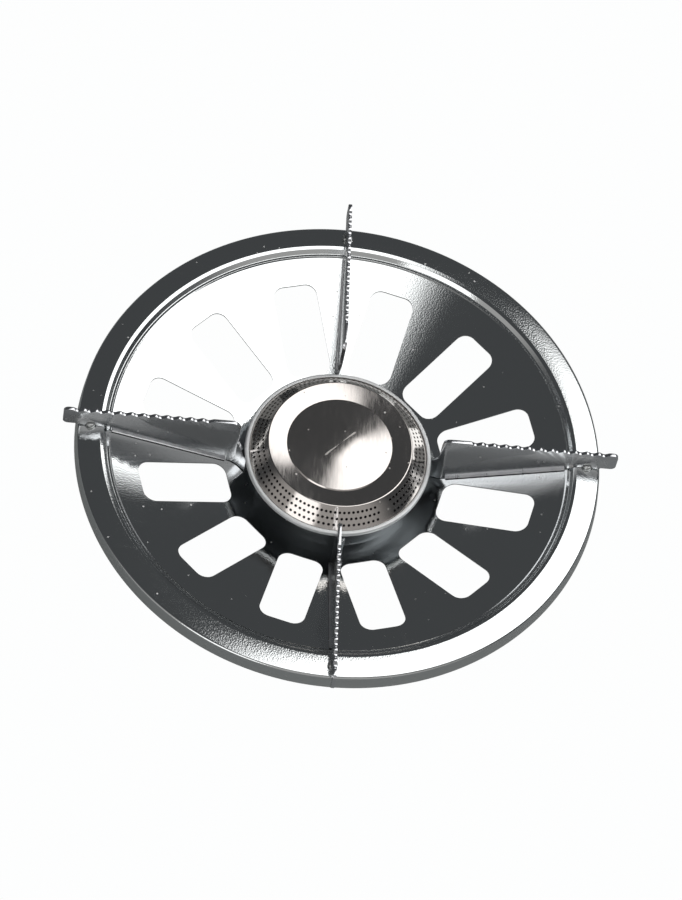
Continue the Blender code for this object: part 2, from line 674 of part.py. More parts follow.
def valve_body(finish, axis):
    """The valve: a stub below the seat face, a side boss for the spindle and a spigot for the tube."""
    outline = [
        (0, -STUB_LENGTH),
        (STUB_RADIUS - STUB_CHAMFER, -STUB_LENGTH),
        (STUB_RADIUS, STUB_CHAMFER - STUB_LENGTH),
        (STUB_RADIUS, SEAL_GROOVE_DEPTH),
        (SEAL_GROOVE_RADIUS, SEAL_GROOVE_DEPTH),
        (SEAL_GROOVE_RADIUS, 0),
        (VALVE_RADIUS, 0),
        (VALVE_RADIUS, VALVE_HEIGHT),
        (SPIGOT_RADIUS, VALVE_HEIGHT),
        (SPIGOT_RADIUS, VALVE_HEIGHT + SPIGOT_HEIGHT),
        (SPIGOT_RADIUS - SPIGOT_WALL, VALVE_HEIGHT + SPIGOT_HEIGHT),
        (SPIGOT_RADIUS - SPIGOT_WALL, VALVE_HEIGHT),
        (0, VALVE_HEIGHT),
    ]
    body = turned("valve_body", outline, finish)
    boss = [(0, OUTLET_START), (BOSS_RADIUS, OUTLET_START), (BOSS_RADIUS, BOSS_END), (0, BOSS_END)]
    combine(body, turned("spindle_boss", boss, None, TURNED_SEGMENTS, axis), "UNION")
    for cutter in valve_passages(axis):
        combine(body, cutter)


def seat_seal(finish):
    """The rubber ring in the groove round the stub."""
    inner = STUB_RADIUS + GAP
    outer = SEAL_GROOVE_RADIUS - GAP
    section = rectangle(inner, -SEAL_STAND, outer, SEAL_GROOVE_DEPTH - GAP)
    turned("seat_seal", section, finish)


def valve_pin(finish):
    """The pin that opens the cylinder's valve: a stem with a six-sided collar that lets gas past."""
    stem = [
        (0, -STUB_LENGTH - PIN_STAND),
        (PIN_RADIUS, -STUB_LENGTH - PIN_STAND),
        (PIN_RADIUS, -PIN_COLLAR_LOW + 2 * PIN_COLLAR_HEIGHT),
        (0, -PIN_COLLAR_LOW + 2 * PIN_COLLAR_HEIGHT),
    ]
    pin = turned("valve_pin", stem, finish, SMALL_SEGMENTS)
    bm = bmesh.new()
    flats = (INLET_RADIUS - GAP) * math.sqrt(3)
    add_prism(bm, hexagon(flats), -PIN_COLLAR_LOW, -PIN_COLLAR_LOW + PIN_COLLAR_HEIGHT)
    combine(pin, finished("pin_collar", bm, None), "UNION")


def gas_jet(finish):
    """The injector: a threaded shank, a hexagon and a nose with a fine orifice."""
    low = VALVE_HEIGHT - JET_SOCKET_DEPTH + 4 * GAP
    hex_low = VALVE_HEIGHT + GAP
    hex_high = hex_low + JET_HEX_HEIGHT
    high = hex_high + JET_NOSE_HEIGHT
    orifice = high - JET_ORIFICE_LENGTH
    body = [
        (0, low),
        (JET_SHANK_RADIUS, low),
        (JET_SHANK_RADIUS, hex_high),
        (JET_NOSE_RADIUS, high),
        (0, high),
    ]
    jet = turned("gas_jet", body, finish, SMALL_SEGMENTS)
    bm = bmesh.new()
    add_prism(bm, hexagon(JET_HEX_FLATS), hex_low, hex_high - GAP)
    combine(jet, finished("jet_hexagon", bm, None), "UNION")
    bore = [
        (0, low - CUT_PAST),
        (JET_BORE_RADIUS, low - CUT_PAST),
        (JET_BORE_RADIUS, orifice),
        (JET_ORIFICE_RADIUS, orifice),
        (JET_ORIFICE_RADIUS, high + CUT_PAST),
        (0, high + CUT_PAST),
    ]
    combine(jet, turned("jet_bore", bore, None, SMALL_SEGMENTS))


# Spindle, gland and knob, modelled about the spindle's axis


def needle_spindle(finish, axis):
    """The spindle: a needle point, a stem and a screw hole in its outer end."""
    tip = NEEDLE_SEAT_OFFSET - NEEDLE_INSERTION
    root = tip + NEEDLE_LENGTH
    hole = SPINDLE_END - SCREW_LENGTH
    outline = [
        (0, tip),
        (NEEDLE_TIP_RADIUS, tip),
        (NEEDLE_ROOT_RADIUS, root),
        (SPINDLE_RADIUS, root + SPINDLE_SHOULDER),
        (SPINDLE_RADIUS, SPINDLE_END),
        (SCREW_BORE_RADIUS, SPINDLE_END),
        (SCREW_BORE_RADIUS, hole),
        (0, hole),
    ]
    turned("needle_spindle", outline, finish, SMALL_SEGMENTS, axis)


def spindle_seals(packing_finish, gland_finish, axis):
    """The packing ring and the gland nut that presses on it."""
    low = PACKING_SEAT + GAP
    high = low + PACKING_HEIGHT
    ring = rectangle(SPINDLE_BORE_RADIUS, low, PACKING_RADIUS, high)
    turned("spindle_packing", ring, packing_finish, SMALL_SEGMENTS, axis)
    start = high + GAP
    hex_low = BOSS_END + GAP
    sleeve = rectangle(0, start, PACKING_RADIUS, hex_low + GLAND_OVERLAP)
    gland = turned("gland_nut", sleeve, gland_finish, SMALL_SEGMENTS, axis)
    bm = bmesh.new()
    add_prism(bm, hexagon(GLAND_FLATS), hex_low, hex_low + GLAND_HEX_HEIGHT)
    combine(gland, finished("gland_hexagon", bm, None, axis), "UNION")
    bore = rectangle(0, start - CUT_PAST, SPINDLE_BORE_RADIUS, hex_low + GLAND_HEX_HEIGHT + CUT_PAST)
    combine(gland, turned("gland_bore", bore, None, SMALL_SEGMENTS, axis))


def control_knob(finish, axis):
    """The knob: a fluted cup with a hub over the spindle and a pointer groove in its face."""
    hub_start = KNOB_START + KNOB_HUB_SHORT
    hub = SPINDLE_BORE_RADIUS + KNOB_HUB_WALL
    head_bore = SCREW_HEAD_RADIUS + GAP
    outline = [
        (SPINDLE_BORE_RADIUS, hub_start),
        (hub, hub_start),
        (hub, KNOB_FACE_INNER),
        (KNOB_RADIUS - KNOB_WALL, KNOB_FACE_INNER),
        (KNOB_RADIUS - KNOB_WALL, KNOB_START),
        (KNOB_RADIUS, KNOB_START),
        (KNOB_RADIUS, KNOB_END - KNOB_TAPER),
        (KNOB_RADIUS - KNOB_TAPER, KNOB_END),
        (head_bore, KNOB_END),
        (head_bore, SCREW_SEAT),
        (SCREW_BORE_RADIUS, SCREW_SEAT),
        (SCREW_BORE_RADIUS, SPINDLE_END + GAP),
        (SPINDLE_BORE_RADIUS, SPINDLE_END + GAP),
    ]
    knob = turned("control_knob", outline, finish, KNOB_SEGMENTS, axis)
    flute_length = KNOB_LENGTH - FLUTE_START + CUT_PAST
    flute_middle = KNOB_START + FLUTE_START + flute_length / 2
    bm = bmesh.new()
    for i in range(FLUTE_COUNT):
        turn = about_z((i + 0.5) * math.tau / FLUTE_COUNT)
        place = turn @ Matrix.Translation((KNOB_RADIUS + FLUTE_OUTSET, 0, flute_middle))
        add_cylinder(bm, FLUTE_RADIUS, flute_length, place)
    combine(knob, finished("knob_flutes", bm, None, axis))
    bm = bmesh.new()
    inner = head_bore + KNOB_WALL
    groove = rectangle(-POINTER_WIDTH / 2, -inner - POINTER_LENGTH, POINTER_WIDTH / 2, -inner)
    add_prism(bm, groove, KNOB_END - POINTER_DEPTH, KNOB_END + CUT_PAST)
    combine(knob, finished("knob_pointer", bm, None, axis))


def knob_screw(finish, axis):
    """The screw that holds the knob to the spindle."""
    seat = SCREW_SEAT + GAP
    head = seat + SCREW_HEAD_HEIGHT
    outline = [
        (0, seat - SCREW_LENGTH),
        (SCREW_SHANK_RADIUS, seat - SCREW_LENGTH),
        (SCREW_SHANK_RADIUS, seat),
        (SCREW_HEAD_RADIUS, seat),
        (SCREW_HEAD_RADIUS, head),
        (0, head),
    ]
    screw = turned("knob_screw", outline, finish, SMALL_SEGMENTS, axis)
    bm = bmesh.new()
    half = SCREW_SLOT_WIDTH / 2
    reach = SCREW_HEAD_RADIUS + CUT_PAST
    slot = rectangle(-reach, -half, reach, half)
    add_prism(bm, slot, head - SCREW_SLOT_DEPTH, head + CUT_PAST)
    combine(screw, finished("screw_slot", bm, None, axis))


def build():
    """Builds every piece."""
    clear_scene()
    finishes = make_finishes()
    drip_pan(finishes["chrome"])
    pot_arms(finishes["chrome"])
    arm_studs(finishes["chrome"])
    burner_bowl(finishes["satin_zinc"])
    burner_cap(finishes["stainless"])
    mixing_tube(finishes["zinc_plate"])
    clamping_pieces(finishes["zinc_plate"])
    axis = spindle_axis()
    valve_body(finishes["brass"], axis)
    seat_seal(finishes["black_rubber"])
    valve_pin(finishes["brass"])
    gas_jet(finishes["brass"])
    needle_spindle(finishes["brass"], axis)
    spindle_seals(finishes["black_rubber"], finishes["brass"], axis)
    control_knob(finishes["black_plastic"], axis)
    knob_screw(finishes["zinc_plate"], axis)


build()
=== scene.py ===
"""Full detail for the screw-on gas cooker top: a slotted pan, four pot arms, a burner and a needle valve.

Lengths are in metres. The tube's axis is Z and the frame's origin is the middle of the valve's seat face.
"""

import logging
import math
from collections.abc import Callable, Iterable, Sequence
from dataclasses import dataclass
from enum import Enum
from functools import partial, reduce
from itertools import pairwise

import bpy
from mathutils import Matrix, Vector


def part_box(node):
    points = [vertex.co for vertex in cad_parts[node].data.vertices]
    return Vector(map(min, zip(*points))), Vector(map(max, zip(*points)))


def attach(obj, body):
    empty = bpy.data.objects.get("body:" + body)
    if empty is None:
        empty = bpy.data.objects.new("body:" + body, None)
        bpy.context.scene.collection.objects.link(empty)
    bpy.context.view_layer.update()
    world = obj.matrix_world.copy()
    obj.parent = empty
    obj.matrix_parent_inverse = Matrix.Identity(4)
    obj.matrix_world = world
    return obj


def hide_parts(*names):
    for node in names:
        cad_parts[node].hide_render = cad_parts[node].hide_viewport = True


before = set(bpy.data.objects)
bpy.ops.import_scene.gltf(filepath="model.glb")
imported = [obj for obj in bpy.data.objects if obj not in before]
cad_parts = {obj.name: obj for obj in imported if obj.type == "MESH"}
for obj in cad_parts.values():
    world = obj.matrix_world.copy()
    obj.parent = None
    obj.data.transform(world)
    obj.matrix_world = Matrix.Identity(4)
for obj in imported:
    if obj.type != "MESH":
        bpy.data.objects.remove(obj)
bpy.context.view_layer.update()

LOG = logging.getLogger("cooker_top")

MM = 0.001
# Clearance between neighbours, distance under which points are one, and a cutter's overrun.
GAP = 0.3 * MM
WELD = 0.002 * MM
PAST = 1.0 * MM
SMOOTH_ANGLE = math.radians(32)
BEVEL_ANGLE = math.radians(40)
ARC_STEP = math.radians(12)
# Bevel profile that opens a four-sided corner into a regular octagon.
OCTAGON = 0.0856
# With no window, transform.rotate turns the other way.
TURN_SENSE = -1.0
# Radius of the hole that the pan, bowl, washer and locknut leave for the mixing tube.
TUBE_HOLE = 11.3 * MM
# Height of the bowl's matt rim.
MATT_RIM = 2.7 * MM
# Depth and flank of a thread, in pitches.
THREAD_DEPTH = 0.6
THREAD_FLANK = 0.4
# Where a nut's turned corners meet its end, in half flats, and how far they widen with depth.
CHAMFER_CIRCLE = 0.97
CHAMFER_SLOPE = 2.2
SIDES = ("east", "north", "west", "south")
BODY = "cooker"
UPRIGHT = Vector((0, 0, 1))

SOFTBOX_STRENGTH = 1.9
# Each edge's inward normal, its distance and half its fade, as shares of the softbox's height.
SOFTBOX_EDGES = (
    ((0.840, -0.543), -0.185, 0.02),
    ((0.940, -0.341), -0.105, 0.08),
    ((0.427, -0.904), -0.600, 0.10),
    ((0.0, 1.0), -0.30, 0.12),
)
WHITE = (1.0, 1.0, 1.0)
FLOOR_SEEN = (0.985, 0.99, 0.99)
FLOOR_REFLECTED = (0.30, 0.31, 0.31)
FLOOR_ROUGHNESS = 0.9
ROOM_DARK = (0.062, 0.065, 0.068)
ROOM_LIGHT = (0.40, 0.395, 0.39)
WINDOW_LIGHT = (1.6, 1.6, 1.6)
# Direction of the lighter part, and the cosines where it starts and is full.
ROOM_FADE = ((-0.20, -1.0, -0.25), 0.10, 0.55)
WINDOW_FADE = ((-0.50, -0.75, 0.43), 0.955, 0.975)

Point = tuple[float, float]
Colour = tuple[float, float, float]


class Slot(Enum):
    """The record's material slots."""

    CHROME = "chrome"
    STAINLESS = "polished_stainless"
    SATIN = "satin_aluminium"
    ZINC = "zinc_plate"
    BRASS = "brass"
    RUBBER = "rubber"
    PLASTIC = "black_plastic"


def middle_of(node: str) -> Vector:
    """Middle of a CAD node's box."""
    low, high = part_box(node)
    return (low + high) / 2


PAN_LOW, PAN_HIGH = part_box("drip_pan")
BOWL_LOW, BOWL_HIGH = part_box("burner_bowl")
CAP_LOW, CAP_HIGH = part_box("burner_cap")
TUBE_LOW, TUBE_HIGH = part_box("mixing_tube")
VALVE_LOW, VALVE_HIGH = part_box("valve_body")
KNOB_LOW, KNOB_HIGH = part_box("control_knob")
SPINDLE_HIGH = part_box("needle_spindle")[1]
SPINDLE_HEIGHT = middle_of("needle_spindle").z
BURNER_RADIUS = BOWL_HIGH.x
# Height under which the bowl is painted dark, as shade under its rim.
BOWL_RIM_FOOT = BOWL_HIGH.z - MATT_RIM


# Finishes


def opaque(colour: Colour) -> tuple[float, ...]:
    """Adds full alpha to a colour."""
    return (*colour, 1.0)


class Wiring:
    """A node tree that is filled one node at a time."""

    def __init__(self, tree: bpy.types.NodeTree) -> None:
        """Keeps the tree's nodes and links."""
        self.nodes, self.links = tree.nodes, tree.links

    def feed(self, node: bpy.types.Node, inputs: dict[str | int, object]) -> None:
        """Links or sets a node's inputs.

        Args:
            node: the node.
            inputs: for each input, the socket it is linked from or its value.
        """
        for label, value in inputs.items():
            if isinstance(value, bpy.types.NodeSocket):
                self.links.new(value, node.inputs[label])
            else:
                node.inputs[label].default_value = value

    def add(
        self, kind: str, inputs: dict[str | int, object], output: str | int = 0, **settings: object
    ) -> bpy.types.NodeSocket:
        """Adds a node.

        Args:
            kind: the node's type.
            inputs: for each input, the socket it is linked from or its value.
            output: which output is wanted.
            **settings: the node's own options.

        Returns:
            The wanted output.
        """
        node = self.nodes.new("ShaderNode" + kind)
        for key, value in settings.items():
            setattr(node, key, value)
        self.feed(node, inputs)
        return node.outputs[output]

    def maths(self, operation: str, *values: object) -> bpy.types.NodeSocket:
        """Adds a Math node that does one operation on these sockets or numbers."""
        return self.add("Math", dict(enumerate(values)), operation=operation)

    def mix(self, kind: str, factor: object, first: object, second: object) -> bpy.types.NodeSocket:
        """Adds a Mix node of this kind, from the first value to the second."""
        return self.add("Mix", {"Factor": factor, "A": first, "B": second}, "Result", data_type=kind)

    def fade(
        self, place: bpy.types.NodeSocket, toward: Sequence[float], start: float, end: float
    ) -> bpy.types.NodeSocket:
        """Adds a soft step along a direction.

        Args:
            place: the coordinates.
            toward: the direction.
            start: how far along the step starts.
            end: how far along it is full.

        Returns:
            The step, from 0 to 1.
        """
        along = self.add("VectorMath", {0: place, 1: toward}, "Value", operation="DOT_PRODUCT")
        ends = {"Value": along, "From Min": start, "From Max": end}
        return self.add("MapRange", ends, "Result", interpolation_type="SMOOTHSTEP")

    def show(self, seen: bpy.types.NodeSocket, reflected: bpy.types.NodeSocket, ending: str) -> None:
        """Gives the camera one shader and reflections another.

        Args:
            seen: the camera's shader.
            reflected: the shader for everything else.
            ending: name of the tree's output node.
        """
        camera = self.add("LightPath", {}, "Is Camera Ray")
        shown = self.add("MixShader", {0: camera, 1: reflected, 2: seen})
        self.feed(self.nodes[ending], {"Surface": shown})


def node_group(name: str, inputs: dict[str, float], outputs: Sequence[str]) -> bpy.types.NodeTree:
    """Makes an empty shader node group with a vector input, named number inputs and value outputs.

    Args:
        name: the group's name.
        inputs: each number input with its default.
        outputs: names of the value outputs.

    Returns:
        The group, with its input and output nodes named Inlet and Outlet.
    """
    group = bpy.data.node_groups.new(name, "ShaderNodeTree")
    group.interface.new_socket("Vector", in_out="INPUT", socket_type="NodeSocketVector")
    for label, value in inputs.items():
        socket = group.interface.new_socket(label, in_out="INPUT", socket_type="NodeSocketFloat")
        socket.default_value = value
    for label in outputs:
        group.interface.new_socket(label, in_out="OUTPUT", socket_type="NodeSocketFloat")
    group.nodes.new("NodeGroupInput").name = "Inlet"
    group.nodes.new("NodeGroupOutput").name = "Outlet"
    return group


def plating_grain() -> bpy.types.NodeTree:
    """Builds the orange peel and fine grain of plated sheet.

    Returns:
        A group with Height, for a bump, and Grain, a mask from 0 to 1.
    """
    group = node_group(
        "plating_grain", {"Scale": 900.0, "Peel Scale": 60.0, "Peel": 0.5}, ("Height", "Grain")
    )
    wiring, inlet = Wiring(group), group.nodes["Inlet"].outputs
    place = inlet["Vector"]
    fine = wiring.add("TexVoronoi", {"Vector": place, "Scale": inlet["Scale"]}, "Distance")
    peel = wiring.add("TexNoise", {"Vector": place, "Scale": inlet["Peel Scale"], "Detail": 2.0}, "Fac")
    height = wiring.maths("MULTIPLY_ADD", peel, inlet["Peel"], fine)
    wiring.feed(group.nodes["Outlet"], {"Height": height, "Grain": fine})
    return group


def handling_wear() -> bpy.types.NodeTree:
    """Builds fine scratches and bright specks.

    Returns:
        A group with Scratches and Specks, both masks from 0 to 1.
    """
    group = node_group(
        "handling_wear", {"Scale": 300.0, "Speck Scale": 120.0, "Amount": 0.5}, ("Scratches", "Specks")
    )
    wiring, inlet = Wiring(group), group.nodes["Inlet"].outputs
    place = inlet["Vector"]
    drawn = wiring.add("Mapping", {"Vector": place, "Rotation": (0.3, 0.2, 0.7), "Scale": (0.03, 1.0, 1.0)})
    lines = wiring.add(
        "TexNoise", {"Vector": drawn, "Scale": inlet["Scale"], "Detail": 6.0, "Roughness": 0.75}, "Fac"
    )
    kept = wiring.add("MapRange", {"Value": lines, "From Min": 0.60, "From Max": 0.74}, "Result")
    cells = wiring.add("TexVoronoi", {"Vector": place, "Scale": inlet["Speck Scale"]}, "Distance")
    specks = wiring.add("MapRange", {"Value": cells, "From Min": 0.09, "From Max": 0.05}, "Result")
    scratches = wiring.maths("MULTIPLY", kept, inlet["Amount"])
    wiring.feed(group.nodes["Outlet"], {"Scratches": scratches, "Specks": specks})
    return group


def edge_rub() -> bpy.types.NodeTree:
    """Builds the rub along convex edges, broken up by noise.

    Returns:
        A group with Rub, a mask from 0 to 1.
    """
    group = node_group("edge_rub", {"Scale": 300.0, "Reach": 0.55}, ("Rub",))
    wiring, inlet = Wiring(group), group.nodes["Inlet"].outputs
    shape = wiring.add("NewGeometry", {}, "Pointiness")
    edges = wiring.add("MapRange", {"Value": shape, "From Min": inlet["Reach"], "From Max": 0.62}, "Result")
    broken = wiring.add("TexNoise", {"Vector": inlet["Vector"], "Scale": inlet["Scale"]}, "Fac")
    wiring.feed(group.nodes["Outlet"], {"Rub": wiring.maths("MULTIPLY", edges, broken)})
    return group


@dataclass(frozen=True)
class ShadeAndPolish:
    """How a finish differs below a height: painted shade, as a darker colour, on a smoother surface.

    Attributes:
        below: the height under which the colour is painted dark as shade and the surface is smoother.
        colour: the painted shade's dark colour.
        roughness: the smoother surface's roughness.
    """

    below: float
    colour: Colour
    roughness: float


@dataclass(frozen=True)
class Finish:
    """A surface finish, with how its grain, scratches and rubbed edges show.

    Attributes:
        slot: the record's material slot; not used.
        colour: the plain surface's colour.
        worn: the colour in grain and along rubbed edges.
        roughness: roughness of the plain surface.
        metallic: 1 for a metal, 0 otherwise.
        grain_scale: waves of grain a metre.
        grain_height: depth of the grain's bump.
        rougher: roughness that the grain adds at most.
        scratches: how strongly scratches show.
        matt: roughness that a scratch, a speck or a rubbed edge adds.
        stretch: scale of the grain along X, Y and Z, to brush or turn it.
        shade_and_polish: painted shade and a smoother surface below a height, if the finish has them.
    """

    slot: Slot
    colour: Colour
    worn: Colour
    roughness: float
    metallic: float = 1.0
    grain_scale: float = 900.0
    grain_height: float = 0.01 * MM
    rougher: float = 0.1
    scratches: float = 0.5
    matt: float = 0.35
    stretch: tuple[float, float, float] = (1.0, 1.0, 1.0)
    shade_and_polish: ShadeAndPolish | None = None

    def material(self, name: str, groups: dict[str, bpy.types.NodeTree]) -> bpy.types.Material:
        """Builds the finish as a material.

        Args:
            name: the material's name.
            groups: the shared effects by name.

        Returns:
            The material.
        """
        made = bpy.data.materials.new(name)
        made.use_nodes = True
        wiring = Wiring(made.node_tree)
        place = wiring.add("TexCoord", {}, "Object")
        brushed = wiring.add("Mapping", {"Vector": place, "Scale": self.stretch})
        inputs = {
            "grain": {"Vector": brushed, "Scale": self.grain_scale},
            "wear": {"Vector": place, "Amount": self.scratches},
            "rub": {"Vector": brushed},
        }
        grain, wear, rub = (
            wiring.add("Group", fed, node_tree=groups[label]).node.outputs for label, fed in inputs.items()
        )
        marks = wiring.maths("MAXIMUM", wear["Scratches"], rub["Rub"])
        marks = wiring.maths("MAXIMUM", wear["Specks"], marks)
        colour = wiring.mix("RGBA", marks, opaque(self.colour), opaque(self.worn))
        span = {"Value": grain["Grain"], "To Min": self.roughness, "To Max": self.roughness + self.rougher}
        roughness = wiring.maths("MULTIPLY_ADD", marks, self.matt, wiring.add("MapRange", span, "Result"))
        # Painted shade: below the height the colour is painted dark, and the roughness is lower.
        if self.shade_and_polish:
            height = wiring.add("SeparateXYZ", {"Vector": place}, "Z")
            under = wiring.maths("LESS_THAN", height, self.shade_and_polish.below)
            colour = wiring.mix("RGBA", under, colour, opaque(self.shade_and_polish.colour))
            roughness = wiring.mix("FLOAT", under, roughness, self.shade_and_polish.roughness)
        relief = {"Height": grain["Height"], "Strength": 1.0, "Distance": self.grain_height}
        wiring.feed(wiring.nodes["Principled BSDF"], {
            "Metallic": self.metallic, "Base Color": colour, "Roughness": roughness,
            "Normal": wiring.add("Bump", relief),
        })
        return made


class Finishes:
    """Every finish of the cooker top, made once as a material."""

    BOOK = {
        "chrome_plate": Finish(
            Slot.CHROME, (0.74, 0.76, 0.76), (0.80, 0.80, 0.79), 0.03, rougher=0.07,
            grain_scale=1200.0, grain_height=0.017 * MM, scratches=0.25,
        ),
        "chrome_blade": Finish(
            Slot.CHROME, (0.72, 0.73, 0.75), (0.88, 0.88, 0.88), 0.13, rougher=0.10,
            grain_scale=1100.0, grain_height=0.002 * MM,
        ),
        "pressed_stainless": Finish(
            Slot.STAINLESS, (0.66, 0.62, 0.59), (0.78, 0.74, 0.70), 0.07, rougher=0.08,
            grain_height=0.0015 * MM, scratches=0.0, stretch=(1.0, 0.12, 1.0),
        ),
        "satin_casting": Finish(
            Slot.SATIN, (0.84, 0.85, 0.85), (0.92, 0.93, 0.93), 0.52, rougher=0.12,
            grain_scale=1600.0, grain_height=0.02 * MM, scratches=0.3,
            # Painted shade: the bowl under its rim's foot is painted dark grey, and is smoother there.
            shade_and_polish=ShadeAndPolish(BOWL_RIM_FOOT, (0.20, 0.21, 0.22), 0.28),
        ),
        "zinc_plate": Finish(
            Slot.ZINC, (0.60, 0.61, 0.60), (0.78, 0.77, 0.72), 0.26, rougher=0.16,
            grain_scale=1300.0, grain_height=0.012 * MM,
        ),
        "turned_brass": Finish(
            Slot.BRASS, (0.78, 0.58, 0.26), (0.90, 0.74, 0.42), 0.22, rougher=0.14,
            grain_scale=1500.0, grain_height=0.008 * MM, stretch=(0.25, 0.25, 1.0),
        ),
        "seal_rubber": Finish(
            Slot.RUBBER, (0.018, 0.018, 0.019), (0.06, 0.06, 0.06), 0.62, metallic=0.0, rougher=0.2,
            grain_scale=2200.0, grain_height=0.03 * MM,
        ),
        "moulded_plastic": Finish(
            Slot.PLASTIC, (0.022, 0.022, 0.024), (0.10, 0.10, 0.10), 0.36, metallic=0.0, rougher=0.18,
            grain_scale=2600.0, grain_height=0.05 * MM,
        ),
    }

    def __init__(self) -> None:
        """Builds the shared effects and each material."""
        groups = {"grain": plating_grain(), "wear": handling_wear(), "rub": edge_rub()}
        self.made = {name: finish.material(name, groups) for name, finish in self.BOOK.items()}

    def dress(self, piece: bpy.types.Object, name: str) -> None:
        """Gives a piece one finish.

        Args:
            piece: the piece.
            name: the finish's name.
        """
        piece.data.materials.clear()
        piece.data.materials.append(self.made[name])
        for face in piece.data.polygons:
            face.material_index = 0


# Bench work


def arc(corner: Vector, back: Vector, onward: Vector, radius: float) -> list[Point]:
    """Rounds a corner.

    Args:
        corner: where the two sides meet.
        back: unit vector along the side before it.
        onward: unit vector along the side after it.
        radius: the round's radius.

    Returns:
        Points of the arc.
    """
    half = back.angle(onward) / 2
    centre = corner + (back + onward).normalized() * (radius / math.sin(half))
    start = corner + back * (radius / math.tan(half)) - centre
    end = corner + onward * (radius / math.tan(half)) - centre
    sweep = math.copysign(math.pi - 2 * half, start.x * end.y - start.y * end.x)
    count = max(2, math.ceil(abs(sweep) / ARC_STEP))
    turns = [Matrix.Rotation(sweep * i / count, 2) for i in range(count + 1)]
    return [tuple(centre + turn @ start) for turn in turns]


def rounded(corners: Sequence[tuple[float, ...]], closed: bool = False) -> list[Point]:
    """Rounds the corners that carry a radius.

    Args:
        corners: (x, y) or (x, y, radius) of each corner.
        closed: whether the last corner joins the first.

    Returns:
        Points of the outline, with the first repeated at the end when closed.
    """
    points: list[Point] = []
    for i, (x, y, *radius) in enumerate(corners):
        inside = closed or 0 < i < len(corners) - 1
        if not radius or not inside:
            points.append((x, y))
            continue
        corner = Vector((x, y))
        back = (Vector(corners[i - 1][:2]) - corner).normalized()
        onward = (Vector(corners[(i + 1) % len(corners)][:2]) - corner).normalized()
        points += arc(corner, back, onward, radius[0])
    return points + points[:1] if closed else points


def edit_all() -> None:
    """Enters edit mode with all of the active piece selected."""
    bpy.ops.object.mode_set(mode="EDIT")
    bpy.ops.mesh.select_all(action="SELECT")


def make_active(piece: bpy.types.Object) -> None:
    """Selects one piece alone and makes it active.

    Args:
        piece: the piece.
    """
    bpy.ops.object.select_all(action="DESELECT")
    piece.select_set(True)
    bpy.context.view_layer.objects.active = piece


def select_points(piece: bpy.types.Object, test: Callable[[Vector], bool]) -> None:
    """Selects, in edit mode, just the vertices that pass a test.

    Args:
        piece: the piece in edit mode.
        test: tells from a vertex's place whether it is wanted.
    """
    bpy.ops.mesh.select_all(action="DESELECT")
    bpy.ops.mesh.select_mode(type="VERT")
    bpy.ops.object.mode_set(mode="OBJECT")
    for vert in piece.data.vertices:
        vert.select = test(vert.co)
    bpy.ops.object.mode_set(mode="EDIT")


def traced(name: str, points: Iterable[Vector]) -> bpy.types.Object:
    """Draws a chain of edges from one point to the next.

    Args:
        name: name of the new object.
        points: where the chain goes.

    Returns:
        The object, left in edit mode with its doubles merged.
    """
    stops = list(points)
    bpy.ops.object.select_all(action="DESELECT")
    bpy.ops.mesh.primitive_plane_add(size=MM)
    piece = bpy.context.object
    piece.name = name
    edit_all()
    bpy.ops.mesh.merge(type="CENTER")
    bpy.ops.transform.translate(value=stops[0])
    for here, there in pairwise(stops):
        bpy.ops.mesh.extrude_region_move(TRANSFORM_OT_translate={"value": there - here})
    bpy.ops.mesh.select_all(action="SELECT")
    bpy.ops.mesh.remove_doubles(threshold=WELD)
    return piece


def closed_up(piece: bpy.types.Object) -> None:
    """Merges doubles, turns faces outward and leaves edit mode.

    Args:
        piece: the piece in edit mode.
    """
    bpy.ops.mesh.select_all(action="SELECT")
    bpy.ops.mesh.remove_doubles(threshold=WELD)
    bpy.ops.mesh.normals_make_consistent(inside=False)
    bpy.ops.object.mode_set(mode="OBJECT")
    piece.data.validate()


def lathed(name: str, profile: Sequence[Point], segments: int, along_y: bool = False) -> bpy.types.Object:
    """Turns a profile into a piece.

    Args:
        name: the piece's name.
        profile: (radius, height) points, or (radius, distance along Y) ones.
        segments: how many steps make a full turn.
        along_y: whether the axis is the spindle's and not the tube's.

    Returns:
        The turned piece.
    """
    if along_y:
        axis, centre = Vector((0, 1, 0)), Vector((0, 0, SPINDLE_HEIGHT))
        points = [Vector((radius, far, SPINDLE_HEIGHT)) for radius, far in profile]
    else:
        axis, centre = UPRIGHT, Vector()
        points = [Vector((radius, 0, height)) for radius, height in profile]
    piece = traced(name, points)
    bpy.ops.mesh.select_all(action="SELECT")
    bpy.ops.mesh.spin(steps=segments, angle=math.tau, center=centre, axis=axis)
    closed_up(piece)
    return piece


def extruded(name: str, outline: Sequence[Vector], reach: Vector) -> bpy.types.Object:
    """Fills a closed outline and draws it out.

    Args:
        name: the piece's name.
        outline: the outline's points, the first one again at the end.
        reach: how far and where to.

    Returns:
        The solid piece.
    """
    piece = traced(name, outline)
    bpy.ops.mesh.select_all(action="SELECT")
    bpy.ops.mesh.edge_face_add()
    bpy.ops.mesh.extrude_region_move(TRANSFORM_OT_translate={"value": reach})
    closed_up(piece)
    return piece


def repeated(piece: bpy.types.Object, count: int, axis: Vector, centre: Vector) -> bpy.types.Object:
    """Copies what a mesh holds round an axis, inside the same mesh.

    Args:
        piece: the piece to repeat.
        count: how many there are in a full turn.
        axis: direction of the axis.
        centre: a point on the axis.

    Returns:
        The same piece.
    """
    make_active(piece)
    edit_all()
    turn = math.tau * (count - 1) / count
    bpy.ops.mesh.spin(steps=count - 1, dupli=True, angle=turn, center=centre, axis=axis)
    closed_up(piece)
    return piece


def apply_modifier(piece: bpy.types.Object, kind: str, **settings: object) -> None:
    """Adds one modifier and applies it.

    Args:
        piece: the piece.
        kind: the modifier's type.
        **settings: the modifier's own options.
    """
    make_active(piece)
    modifier = piece.modifiers.new(kind.lower(), kind)
    for key, value in settings.items():
        setattr(modifier, key, value)
    bpy.ops.object.modifier_apply(modifier=modifier.name)


